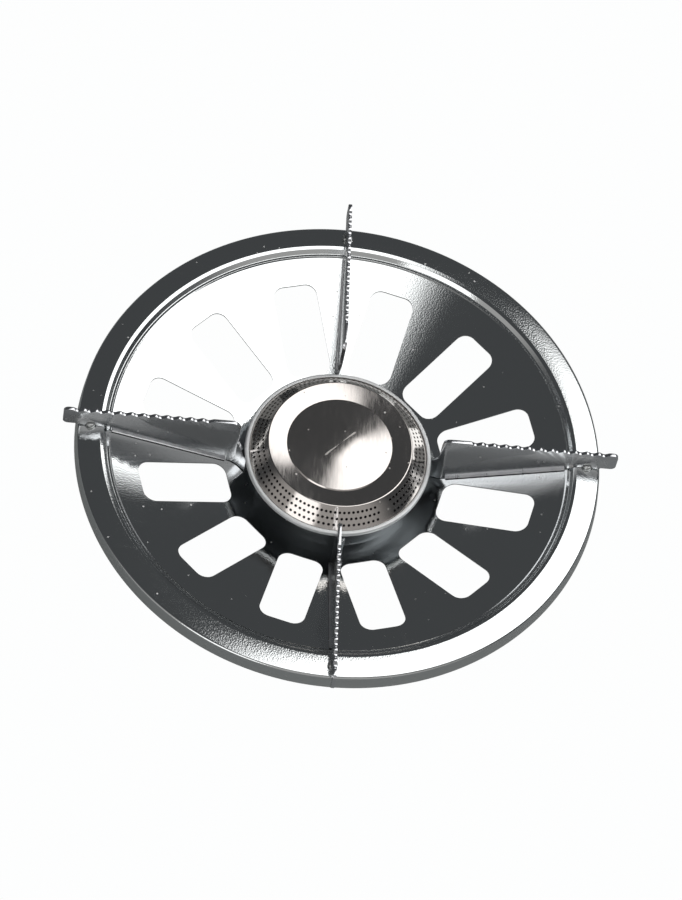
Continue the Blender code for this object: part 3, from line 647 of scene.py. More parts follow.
def combine(piece: bpy.types.Object, tool: bpy.types.Object, operation: str = "DIFFERENCE") -> None:
    """Cuts or joins a piece with a tool, clears slivers and throws the tool away.

    Args:
        piece: the piece.
        tool: what cuts it or is joined to it.
        operation: the Boolean's kind.
    """
    apply_modifier(piece, "BOOLEAN", operation=operation, object=tool, solver="EXACT")
    bpy.data.objects.remove(tool)
    edit_all()
    bpy.ops.mesh.remove_doubles(threshold=WELD)
    bpy.ops.mesh.dissolve_degenerate(threshold=WELD)
    closed_up(piece)


def soften(piece: bpy.types.Object, width: float) -> None:
    """Rounds a piece's sharp edges by this width."""
    apply_modifier(
        piece, "BEVEL", width=width, segments=2, limit_method="ANGLE", angle_limit=BEVEL_ANGLE
    )


def smooth(piece: bpy.types.Object) -> None:
    """Shades a piece smooth up to the angle where an edge is meant."""
    make_active(piece)
    bpy.ops.object.shade_smooth_by_angle(angle=SMOOTH_ANGLE)


def turned_copy(piece: bpy.types.Object, name: str, angle: float) -> bpy.types.Object:
    """Copies a piece round the tube's axis, with its own mesh.

    Args:
        piece: what is copied.
        name: the copy's name.
        angle: how far round.

    Returns:
        The copy, with its place in its mesh.
    """
    make_active(piece)
    bpy.ops.object.duplicate()
    copy = bpy.context.object
    copy.name = name
    copy.rotation_euler.z = angle
    bpy.ops.object.transform_apply(location=True, rotation=True, scale=True)
    return copy


def on_each_side(first: bpy.types.Object, stem: str) -> dict[str, bpy.types.Object]:
    """Copies the east piece to the other sides.

    Args:
        first: the east piece.
        stem: the names' first part, before the side.

    Returns:
        The piece of each side.
    """
    pieces = {SIDES[0]: first}
    for i, side in enumerate(SIDES[1:], start=1):
        pieces[side] = turned_copy(first, stem + side, i * math.tau / len(SIDES))
    return pieces


def circle(radius: float, steps: int) -> list[Point]:
    """Points round a circle, the first one again at the end."""
    turns = [i * math.tau / steps for i in range(steps + 1)]
    return [(radius * math.cos(turn), radius * math.sin(turn)) for turn in turns]


def rectangle(left: float, low: float, right: float, high: float) -> list[Point]:
    """Corners of a rectangle, the first one again at the end."""
    return [(left, low), (right, low), (right, high), (left, high), (left, low)]


def hexagon(flats: float, turn: float = 0.0) -> list[Point]:
    """Corners of a hexagon this far across its flats, the first one again at the end."""
    corner = flats / math.sqrt(3)
    return [
        (corner * math.cos(turn + i * math.pi / 3), corner * math.sin(turn + i * math.pi / 3))
        for i in (*range(6), 0)
    ]


def thread(radius: float, low: float, high: float, pitch: float) -> list[Point]:
    """Profile of a thread's crests and roots, from low to high.

    Args:
        radius: outer radius.
        low: where the thread starts.
        high: where it ends.
        pitch: distance from crest to crest.

    Returns:
        (radius, height) points.
    """
    count = math.floor((high - low) / pitch)
    root = radius - THREAD_DEPTH * pitch
    points: list[Point] = [(root, low)]
    for i in range(count):
        start = low + i * (high - low) / count
        points += [
            (radius, start + THREAD_FLANK * pitch), (radius, start + (1 - THREAD_FLANK) * pitch),
            (root, start + pitch),
        ]
    return points


def turned_nut(
    nut: bpy.types.Object, outline: Sequence[Point], bore: float, segments: int, along_y: bool = False
) -> bpy.types.Object:
    """Turns a hexagon's corners down and bores it.

    Args:
        nut: the plain hexagon.
        outline: (radius, height) points of the shape its corners are turned to.
        bore: the bore's radius.
        segments: how many steps make a full turn.
        along_y: whether the axis is the spindle's.

    Returns:
        The same nut.
    """
    combine(nut, lathed("nut_envelope", outline, segments, along_y), "INTERSECT")
    low, high = outline[0][1], outline[-1][1]
    combine(nut, lathed("nut_bore", [(0, low), (bore, low), (bore, high), (0, high)], segments, along_y))
    return nut


def sheet(path: Sequence[Point], thickness: float) -> list[Point]:
    """Closes a path into the section of a sheet that lies under it.

    Args:
        path: (radius, height) points of the upper face, outward from the axis.
        thickness: the sheet's thickness.

    Returns:
        The section's points, the first one again at the end.
    """
    points = [Vector(point) for point in path]
    lower: list[Point] = []
    for i, point in enumerate(points):
        before = (point - points[i - 1]).normalized() if i else None
        after = (points[i + 1] - point).normalized() if i + 1 < len(points) else None
        before, after = before or after, after or before
        along = (before + after).normalized()
        below = Vector((along.y, -along.x)) * (thickness / along.dot(before))
        lower.append((point.x + below.x if point.x else 0.0, point.y + below.y))
    whole = [tuple(point) for point in points] + lower[::-1]
    return whole + whole[:1]


@dataclass
class Maker:
    """What every sub-assembly shares: it finishes pieces and sets them on their bodies.

    Attributes:
        finishes: every finish.
    """

    finishes: Finishes

    def place(self, piece: bpy.types.Object, finish: str, nodes: Sequence[str], body: str = BODY) -> None:
        """Dresses a finished piece, sets it on its body and hides the CAD nodes it stands for.

        Args:
            piece: the finished piece.
            finish: name of its finish.
            nodes: the CAD nodes it replaces.
            body: the body it rides on.
        """
        smooth(piece)
        self.finishes.dress(piece, finish)
        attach(piece, body)
        if nodes:
            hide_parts(*nodes)
        LOG.info("%s: %d faces, %s", piece.name, len(piece.data.polygons), finish)

    def keep(self, node: str, finish: str) -> None:
        """Gives a CAD node that stays its finish."""
        self.finishes.dress(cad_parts[node], finish)
        LOG.info("%s: kept, %s", node, finish)


@dataclass
class DripPan:
    """The pressed pan: floor, dish with slots, stepped bead, rim and turned-down flange.

    The maker finishes and places it. The other fields are its sizes.
    """

    maker: Maker
    sheet: float = 0.8 * MM
    segments: int = 288
    flare: float = 1.1 * MM
    flange_depth: float = 10.0 * MM
    rim_width: float = 13.2 * MM
    rim_fall: float = 0.7 * MM
    rim_round: float = 2.0 * MM
    brow_run: float = 1.9 * MM
    brow_depth: float = 0.6 * MM
    wall_run: float = 1.7 * MM
    wall_depth: float = 2.4 * MM
    ledge_run: float = 1.6 * MM
    step_run: float = 0.8 * MM
    step_depth: float = 0.6 * MM
    bead_round: float = 0.6 * MM
    floor_inset: float = 4.8 * MM
    floor_round: float = 1.2 * MM
    slot_count: int = 12
    slot_width: float = 26.4 * MM
    slot_round: float = 6.8 * MM
    slot_to_burner: float = 9.4 * MM
    slot_to_bead: float = 15.3 * MM

    @property
    def radius(self) -> float:
        """Radius of the rim, above the flange's flare."""
        return PAN_HIGH.x - self.flare

    @property
    def rim_inner(self) -> float:
        """Radius where the rim turns down into the bead."""
        return self.radius - self.rim_width

    @property
    def dish_radius(self) -> float:
        """Radius where the bead ends and the dish starts."""
        return self.rim_inner - self.brow_run - self.wall_run - self.ledge_run - self.step_run

    @property
    def dish_top(self) -> float:
        """Height of the dish's upper face at its outer edge."""
        return PAN_HIGH.z - self.brow_depth - self.wall_depth - self.step_depth

    def path(self) -> list[Point]:
        """Upper face of the sheet, from the tube's hole out to the flange's foot.

        Returns:
            (radius, height) points.
        """
        top = PAN_HIGH.z
        brow = self.rim_inner - self.brow_run
        ledge = brow - self.wall_run
        ledge_top = self.dish_top + self.step_depth
        floor_top = PAN_LOW.z + self.sheet
        return rounded([
            (TUBE_HOLE, floor_top),
            (BURNER_RADIUS - self.floor_inset, floor_top, self.floor_round),
            (self.dish_radius, self.dish_top, self.bead_round),
            (ledge - self.ledge_run, ledge_top, self.bead_round / 2),
            (ledge, ledge_top, self.bead_round),
            (brow, top - self.brow_depth, self.bead_round),
            (self.rim_inner, top, self.bead_round),
            (self.radius, top - self.rim_fall, self.rim_round),
            (self.radius + self.flare, top - self.flange_depth),
        ])

    def slots(self) -> bpy.types.Object:
        """Cutter for the slots.

        Returns:
            One mesh that holds every slot.
        """
        inner = BURNER_RADIUS + self.slot_to_burner
        outer = self.dish_radius - self.slot_to_bead
        half, corner = self.slot_width / 2, self.slot_round
        outline = rounded(
            [(inner, -half, corner), (outer, -half, corner), (outer, half, corner), (inner, half, corner)],
            closed=True,
        )
        turn = Matrix.Rotation(math.pi / self.slot_count, 3, "Z")
        low = PAN_LOW.z - PAST
        reach = Vector((0, 0, PAN_HIGH.z + PAST - low))
        cutter = extruded("slot_cutter", [turn @ Vector((x, y, low)) for x, y in outline], reach)
        return repeated(cutter, self.slot_count, UPRIGHT, Vector())

    def make(self) -> None:
        """Builds the pan."""
        pan = lathed("pressed_pan", sheet(self.path(), self.sheet), self.segments)
        combine(pan, self.slots())
        self.maker.place(pan, "chrome_plate", ["drip_pan"])


@dataclass
class PotArms:
    """The four blades on edge, scalloped along the top and curved round the burner at the inner end.

    The maker finishes and places them, and they stand in the pan. The other fields are their sizes.
    """

    maker: Maker
    pan: DripPan
    thickness: float = 2.0 * MM
    edge_round: float = 0.35 * MM
    tab_lift: float = 1.0 * MM
    tip_round: float = 3.0 * MM
    shoulder_round: float = 5.0 * MM
    to_burner: float = 4.2 * MM
    to_pan: float = 0.4 * MM
    bead_run: float = 1.4 * MM
    bead_rise: float = 1.9 * MM
    tuck: float = 0.8 * MM
    tuck_drop: float = 2.1 * MM
    rim_depth: float = 2.5 * MM
    plain_length: float = 15.3 * MM
    tip_plain: float = 4.8 * MM
    scallop_pitch: float = 6.74 * MM
    scallop_depth: float = 1.5 * MM
    scallop_points: int = 10
    curl_radius: float = 14.0 * MM
    curl_start: float = 9.2 * MM
    curl_bends: int = 12
    tail_reach: float = 3.8 * MM
    tail_drop: float = 15.0 * MM
    stud_inset: float = 7.4 * MM
    foot_width: float = 0.9 * MM
    foot_height: float = 0.25 * MM
    notch: float = 3.1 * MM
    notch_rise: float = 0.8 * MM

    def scallops(self, top: float, tip: float) -> list[Point]:
        """Top edge from the tip inward.

        Args:
            top: height of the crests.
            tip: radius of the arm's tip.

        Returns:
            (radius, height) points.
        """
        outer = tip - self.tip_plain
        inner = BURNER_RADIUS + self.to_burner + self.plain_length
        count = math.floor((outer - inner) / self.scallop_pitch)
        points = []
        for i in range(count * self.scallop_points + 1):
            turn = i / self.scallop_points
            depth = self.scallop_depth * math.sin(math.pi * turn) ** 2
            points.append((outer - turn * self.scallop_pitch, top - depth))
        return points

    def outline(self) -> list[Point]:
        """Side view of a blade before its inner end is curved.

        Returns:
            (radius, height) points, the first one again at the end.
        """
        low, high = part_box("pot_arm_east")
        pan = self.pan
        rim = PAN_HIGH.z + GAP
        stud = pan.radius - self.stud_inset
        dish_top = pan.dish_top
        floor_top = PAN_LOW.z + pan.sheet
        floor = BURNER_RADIUS - pan.floor_inset
        slope = (dish_top - floor_top) / (pan.dish_radius - floor)
        bend = BURNER_RADIUS + self.curl_start
        inner = BURNER_RADIUS + self.to_burner
        tuck = BURNER_RADIUS + self.tuck
        notch_top = rim + self.notch_rise
        return rounded([
            (BURNER_RADIUS - self.tail_reach, low.z),
            (bend, floor_top + slope * (bend - floor) + self.to_pan),
            (pan.dish_radius, dish_top + self.to_pan),
            (pan.dish_radius + self.bead_run, dish_top + self.bead_rise),
            (pan.rim_inner - GAP, rim),
            (stud - self.notch, rim),
            (stud - self.notch, notch_top),
            (stud + self.notch, notch_top),
            (stud + self.notch, rim),
            (pan.radius, rim),
            (pan.radius + GAP, PAN_HIGH.z + self.tab_lift),
            (high.x, PAN_HIGH.z + self.tab_lift, self.tip_round),
            (high.x, high.z, self.tip_round),
            *self.scallops(high.z, high.x),
            (inner, high.z, self.shoulder_round),
            (inner, BOWL_HIGH.z + self.to_burner),
            (tuck, BOWL_HIGH.z - self.tuck_drop),
            (tuck, BOWL_HIGH.z - self.rim_depth - self.tuck),
            (BURNER_RADIUS - self.tail_reach, PAN_HIGH.z - self.tail_drop),
        ], closed=True)

    def curl(self, blade: bpy.types.Object) -> None:
        """Bends a blade's inner end round an upright axis, one small bend after another.

        Args:
            blade: the straight blade.
        """
        start = BURNER_RADIUS + self.curl_start
        pitch = (self.curl_start + self.tail_reach) / self.curl_bends
        make_active(blade)
        edit_all()
        places = [start - (i + 0.5) * pitch for i in range(self.curl_bends)]
        for where in places:
            bpy.ops.mesh.select_all(action="SELECT")
            bpy.ops.mesh.bisect(plane_co=(where, 0, 0), plane_no=(1, 0, 0))
        for where in reversed(places):
            select_points(blade, lambda place, limit=where - WELD: place.x < limit)
            bpy.ops.transform.rotate(
                value=-TURN_SENSE * pitch / self.curl_radius, orient_axis="Z", center_override=(where, 0, 0)
            )
        closed_up(blade)

    def foot(self) -> bpy.types.Object:
        """Builds the low fillet on both sides of the east blade's foot, along the dish.

        Returns:
            The fillet.
        """
        pan, half = self.pan, self.thickness / 2
        start = Vector((BURNER_RADIUS + self.curl_start + self.foot_width, 0, 0))
        end = Vector((pan.dish_radius - self.foot_width, 0, pan.dish_top + self.to_pan))
        floor = BURNER_RADIUS - pan.floor_inset
        floor_top = PAN_LOW.z + pan.sheet
        slope = (pan.dish_top - floor_top) / (pan.dish_radius - floor)
        start.z = end.z - slope * (end.x - start.x)
        section = [
            (-half - self.foot_width, 0), (half + self.foot_width, 0), (half, self.foot_height),
            (-half, self.foot_height), (-half - self.foot_width, 0),
        ]
        return extruded("pot_arm_foot_east", [start + Vector((0, y, z)) for y, z in section], end - start)

    def make(self) -> None:
        """Builds the four blades."""
        half = self.thickness / 2
        outline = [Vector((x, -half, z)) for x, z in self.outline()]
        first = extruded("pot_arm_blade_east", outline, Vector((0, self.thickness, 0)))
        self.curl(first)
        soften(first, self.edge_round)
        for side, blade in on_each_side(first, "pot_arm_blade_").items():
            self.maker.place(blade, "chrome_blade", ["pot_arm_" + side])
        for foot in on_each_side(self.foot(), "pot_arm_foot_").values():
            self.maker.place(foot, "chrome_blade", [])


@dataclass
class RivetStuds:
    """The slotted rivets that hold the arms' outer ends to the rim.

    The maker finishes and places them, and the arms stand in their slots. The other fields are their sizes.
    """

    maker: Maker
    arms: PotArms
    segments: int = 40
    head: float = 2.8 * MM
    head_height: float = 2.9 * MM
    head_round: float = 1.1 * MM
    shank: float = 1.6 * MM
    tail: float = 2.6 * MM
    tail_height: float = 1.0 * MM
    slot_floor: float = 0.8 * MM
    edge_round: float = 0.15 * MM

    def make(self) -> None:
        """Builds the four studs."""
        low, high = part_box("arm_stud_east")
        centre = middle_of("arm_stud_east").x
        under = low.z + self.tail_height
        seat = high.z - self.head_height
        profile = rounded([
            (0, low.z),
            (self.tail, low.z, self.tail_height / 2),
            (self.tail, under),
            (self.shank, under),
            (self.shank, seat + GAP),
            (self.head, seat + GAP),
            (self.head, high.z, self.head_round),
            (0, high.z),
        ])
        first = lathed("rivet_stud_east", profile, self.segments)
        half = self.arms.thickness / 2 + GAP
        reach = self.head + PAST
        floor = seat + self.slot_floor
        slot = [Vector((x, y, floor)) for x, y in rectangle(-reach, -half, reach, half)]
        combine(first, extruded("stud_slot", slot, Vector((0, 0, self.head_height))))
        soften(first, self.edge_round)
        first.location.x = centre
        make_active(first)
        bpy.ops.object.transform_apply(location=True, rotation=True, scale=True)
        for side, stud in on_each_side(first, "rivet_stud_").items():
            self.maker.place(stud, "zinc_plate", ["arm_stud_" + side])


@dataclass
class Burner:
    """The burner: a cast bowl with a flat rim, and a pressed cap with rows of fine ports in its cone.

    The maker finishes and places them. The other fields are their sizes.
    """

    maker: Maker
    segments: int = 212
    rim_depth: float = 2.5 * MM
    lip: float = 2.3 * MM
    wall: float = 1.5 * MM
    ledge_width: float = 1.8 * MM
    floor_radius: float = 33.0 * MM
    waist_inset: float = 11.8 * MM
    waist_drop: float = 11.0 * MM
    rim_round: float = 0.5 * MM
    cap_sheet: float = 0.8 * MM
    ridge_radius: float = 41.5 * MM
    ridge_rise: float = 1.7 * MM
    ridge_round: float = 0.9 * MM
    disc_radius: float = 30.0 * MM
    disc_rise: float = 0.9 * MM
    disc_step: float = 0.6 * MM
    crown_slope: float = 0.068
    crown_middle: float = 10.0 * MM
    crown_points: int = 30
    foot: float = 0.8 * MM
    port_radius: float = 0.84 * MM
    port_rows: tuple[float, ...] = (0.27, 0.53, 0.79)
    gap_middle: float = math.radians(-53)
    gap_width: float = math.radians(10)

    def bowl(self) -> bpy.types.Object:
        """Builds the bowl.

        Returns:
            The bowl.
        """
        lip = BURNER_RADIUS - self.lip
        waist = BURNER_RADIUS - self.waist_inset
        waist_height = BOWL_HIGH.z - self.waist_drop
        rim_bottom = BOWL_HIGH.z - self.rim_depth
        ledge = BOWL_HIGH.z - self.wall
        floor = BOWL_LOW.z + self.wall
        profile = rounded([
            (TUBE_HOLE, BOWL_LOW.z),
            (self.floor_radius, BOWL_LOW.z, 2 * self.wall),
            (waist, waist_height, 4 * self.wall),
            (lip, rim_bottom - self.wall / 2, self.wall),
            (BURNER_RADIUS, rim_bottom, self.rim_round),
            (BURNER_RADIUS, BOWL_HIGH.z, 2 * self.rim_round),
            (lip, BOWL_HIGH.z, self.rim_round / 2),
            (lip, ledge),
            (lip - self.ledge_width, ledge),
            (waist - self.wall, waist_height + self.wall / 2),
            (self.floor_radius - self.wall / 2, floor),
            (TUBE_HOLE, floor),
            (TUBE_HOLE, BOWL_LOW.z),
        ])
        return lathed("burner_bowl_casting", profile, self.segments)

    def crown_height(self, radius: float) -> float:
        """Height of the disc over its edge: a round middle, then an even slope.

        Args:
            radius: distance from the disc's middle.

        Returns:
            The height.
        """
        even = self.crown_slope * (self.disc_radius - max(radius, self.crown_middle))
        inside = min(radius, self.crown_middle)
        return even + self.crown_slope * (self.crown_middle**2 - inside**2) / (2 * self.crown_middle)

    @property
    def ports(self) -> list[Point]:
        """Where the rows of ports lie.

        Returns:
            Radius and height of each row.
        """
        ridge = Vector((self.ridge_radius, PAN_HIGH.z + self.ridge_rise))
        foot = Vector((CAP_HIGH.x, CAP_LOW.z + self.foot))
        return [tuple(ridge.lerp(foot, share)) for share in self.port_rows]

    def cap_path(self) -> list[Point]:
        """Upper face of the cap, from its centre to its foot, with a point on each row of ports.

        Returns:
            (radius, height) points.
        """
        level = PAN_HIGH.z
        disc = level + self.disc_rise
        crown = [
            (radius, disc + self.crown_height(radius))
            for radius in (self.disc_radius * i / self.crown_points for i in range(self.crown_points + 1))
        ]
        return rounded([
            *crown,
            (self.disc_radius + self.disc_step, disc - self.disc_step),
            (self.ridge_radius, level + self.ridge_rise, self.ridge_round),
            *self.ports,
            (CAP_HIGH.x, CAP_LOW.z + self.foot, self.foot / 2),
            (CAP_HIGH.x, CAP_LOW.z),
        ])

    def port_test(self) -> Callable[[Vector], bool]:
        """Tells which vertices of the cap are the middle of a port.

        Returns:
            A test of a vertex's place.
        """
        rows = self.ports

        def is_port(place: Vector) -> bool:
            """Tells whether a place is the middle of a port.

            Args:
                place: the place.

            Returns:
                Whether it is one.
            """
            radius, angle = math.hypot(place.x, place.y), math.atan2(place.y, place.x)
            column = round(angle / math.tau * self.segments)
            off = abs((angle - self.gap_middle + math.pi) % math.tau - math.pi)
            for i, (row_radius, height) in enumerate(rows):
                near = abs(radius - row_radius) < WELD and abs(place.z - height) < WELD
                if near and (column + i) % 2 == 0 and off > self.gap_width / 2:
                    return True
            return False

        return is_port

    def cap(self) -> bpy.types.Object:
        """Builds the cap: a turned sheet whose port middles are opened into round holes.

        Returns:
            The cap.
        """
        cap = lathed("burner_cap_pressing", self.cap_path(), self.segments)
        make_active(cap)
        edit_all()
        select_points(cap, self.port_test())
        bpy.ops.mesh.bevel(
            offset_type="OFFSET", offset=self.port_radius, segments=2, profile=OCTAGON, affect="VERTICES"
        )
        bpy.ops.mesh.delete(type="FACE")
        bpy.ops.mesh.select_all(action="SELECT")
        bpy.ops.mesh.normals_make_consistent(inside=False)
        bpy.ops.object.mode_set(mode="OBJECT")
        apply_modifier(cap, "SOLIDIFY", thickness=self.cap_sheet, offset=-1.0, use_even_offset=True)
        return cap

    def make(self) -> None:
        """Builds the bowl and the cap."""
        self.maker.place(self.bowl(), "satin_casting", ["burner_bowl"])
        self.maker.place(self.cap(), "pressed_stainless", ["burner_cap"])


@dataclass
class MixingTube:
    """The tube from the valve to the bowl, with the washer and locknut that clamp the pan.

    The maker finishes and places them. The other fields are their sizes.
    """

    maker: Maker
    segments: int = 64
    radius: float = 11.0 * MM
    wall: float = 2.0 * MM
    flange_height: float = 2.0 * MM
    thread_pitch: float = 1.0 * MM
    thread_low: float = 50.0 * MM
    air_hole: float = 4.0 * MM
    air_hole_height: float = 42.0 * MM
    air_holes: int = 4
    air_hole_steps: int = 32
    nut_flats: float = 32.0 * MM
    edge_round: float = 0.4 * MM

    def tube(self) -> bpy.types.Object:
        """Builds the threaded tube with its flange and air holes.

        Returns:
            The tube.
        """
        bore = self.radius - self.wall
        flange_low = TUBE_HIGH.z - self.flange_height
        thread_high = flange_low - self.thread_pitch
        profile = [
            (bore, TUBE_LOW.z),
            (self.radius, TUBE_LOW.z),
            (self.radius, self.thread_low - self.thread_pitch),
            *thread(self.radius, self.thread_low, thread_high, self.thread_pitch),
            (self.radius - self.thread_pitch, flange_low),
            (TUBE_HIGH.x, flange_low),
            (TUBE_HIGH.x, TUBE_HIGH.z),
            (bore, TUBE_HIGH.z),
            (bore, TUBE_LOW.z),
        ]
        tube = lathed("threaded_mixing_tube", profile, self.segments)
        hole = [
            Vector((bore - PAST, y, self.air_hole_height + z))
            for y, z in circle(self.air_hole, self.air_hole_steps)
        ]
        cutter = extruded("air_hole_cutter", hole, Vector((self.wall + 2 * PAST, 0, 0)))
        combine(tube, repeated(cutter, self.air_holes, UPRIGHT, Vector()))
        return tube

    def ring(self, name: str, node: str, outer: float) -> bpy.types.Object:
        """Builds a plain ring in a CAD node's place.

        Args:
            name: the ring's name.
            node: the CAD node.
            outer: its outer radius.

        Returns:
            The ring.
        """
        low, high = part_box(node)
        return lathed(name, rounded([
            (TUBE_HOLE, low.z), (outer, low.z, self.edge_round), (outer, high.z, self.edge_round),
            (TUBE_HOLE, high.z), (TUBE_HOLE, low.z),
        ]), self.segments)

    def locknut(self) -> bpy.types.Object:
        """Builds the locknut: a hexagon with turned corners and a bore.

        Returns:
            The locknut.
        """
        low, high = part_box("tube_locknut")
        outline = [Vector((x, y, low.z)) for x, y in hexagon(self.nut_flats)]
        nut = extruded("hexagon_locknut", outline, Vector((0, 0, high.z - low.z)))
        inner = CHAMFER_CIRCLE * self.nut_flats / 2
        wide = inner + CHAMFER_SLOPE * (high.z - low.z) / 2
        narrow = inner - CHAMFER_SLOPE * PAST
        return turned_nut(nut, [
            (0, low.z - PAST), (narrow, low.z - PAST), (wide, (low.z + high.z) / 2),
            (narrow, high.z + PAST), (0, high.z + PAST),
        ], TUBE_HOLE, self.segments)

    def make(self) -> None:
        """Builds the tube, washer and locknut."""
        self.maker.place(self.tube(), "zinc_plate", ["mixing_tube"])
        washer = self.ring("clamp_washer", "tube_washer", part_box("tube_washer")[1].x)
        self.maker.place(washer, "zinc_plate", ["tube_washer"])
        self.maker.place(self.locknut(), "zinc_plate", ["tube_locknut"])


@dataclass
class Valve:
    """The valve body with its threaded stub, boss and spigot, and the small pieces in and on it.

    The maker finishes and places them. The other fields are their sizes.
    """

    maker: Maker
    segments: int = 64
    stub: float = 9.0 * MM
    stub_bore: float = 2.5 * MM
    stub_bore_depth: float = 10.0 * MM
    thread_pitch: float = 1.0 * MM
    chamfer: float = 0.8 * MM
    groove: float = 12.0 * MM
    groove_depth: float = 2.0 * MM
    height: float = 28.0 * MM
    spigot: float = 8.7 * MM
    spigot_wall: float = 2.0 * MM
    boss: float = 8.0 * MM
    boss_start: float = 8.0 * MM
    boss_end: float = 26.0 * MM
    gland_flats: float = 14.0 * MM
    gland_hexagon: float = 5.0 * MM
    spindle_bore: float = 3.3 * MM
    edge_round: float = 0.35 * MM
    seal_round: float = 0.6 * MM

    def body(self) -> bpy.types.Object:
        """Builds the valve body.

        Returns:
            The body.
        """
        outer = VALVE_HIGH.x
        soft = self.edge_round
        profile = [
            (0, self.stub_bore_depth + VALVE_LOW.z),
            (self.stub_bore, self.stub_bore_depth + VALVE_LOW.z),
            (self.stub_bore, VALVE_LOW.z),
            (self.stub - self.chamfer, VALVE_LOW.z),
            *thread(self.stub, VALVE_LOW.z + self.chamfer, -self.thread_pitch, self.thread_pitch),
            (self.stub - self.chamfer, self.groove_depth),
            (self.groove, self.groove_depth),
            (self.groove, 0),
            *rounded([
                (self.groove, 0), (outer, 0, soft), (outer, self.height, 2 * soft),
                (self.spigot, self.height),
            ])[1:],
            (self.spigot, VALVE_HIGH.z),
            (self.spigot - self.spigot_wall, VALVE_HIGH.z),
            (self.spigot - self.spigot_wall, self.height),
            (0, self.height),
        ]
        body = lathed("brass_valve_body", profile, self.segments)
        boss = rounded([
            (0, self.boss_start), (self.boss, self.boss_start), (self.boss, self.boss_end, soft),
            (self.spindle_bore, self.boss_end), (self.spindle_bore, self.boss_end - PAST),
            (0, self.boss_end - PAST),
        ])
        combine(body, lathed("valve_boss", boss, self.segments, along_y=True), "UNION")
        return body

    def seal(self) -> bpy.types.Object:
        """Builds the rubber ring, with a rounded face.

        Returns:
            The ring.
        """
        low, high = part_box("seat_seal")
        inner = self.stub + GAP
        return lathed("rubber_seat_ring", rounded([
            (inner, low.z, self.seal_round), (high.x, low.z, self.seal_round),
            (high.x, high.z), (inner, high.z),
        ], closed=True), self.segments)

    def gland(self) -> bpy.types.Object:
        """Builds the gland nut: a turned-cornered hexagon outside the boss.

        Returns:
            The nut.
        """
        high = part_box("gland_nut")[1].y
        start = high - self.gland_hexagon
        outline = [
            Vector((x, start, SPINDLE_HEIGHT + z)) for x, z in hexagon(self.gland_flats, math.pi / 6)
        ]
        nut = extruded("brass_gland_nut", outline, Vector((0, self.gland_hexagon, 0)))
        inner = CHAMFER_CIRCLE * self.gland_flats / 2
        wide = inner + CHAMFER_SLOPE * self.gland_hexagon
        return turned_nut(nut, [
            (0, start - PAST), (wide, start - PAST), (wide, start),
            (inner - CHAMFER_SLOPE * PAST, high + PAST), (0, high + PAST),
        ], self.spindle_bore, self.segments, along_y=True)

    def make(self) -> None:
        """Builds the body, seal and gland, and dresses the small pieces that stay."""
        self.maker.place(self.body(), "turned_brass", ["valve_body"])
        self.maker.place(self.seal(), "seal_rubber", ["seat_seal"])
        self.maker.place(self.gland(), "turned_brass", ["gland_nut"])
        self.maker.keep("valve_pin", "turned_brass")
        self.maker.keep("gas_jet", "turned_brass")
        self.maker.keep("spindle_packing", "seal_rubber")


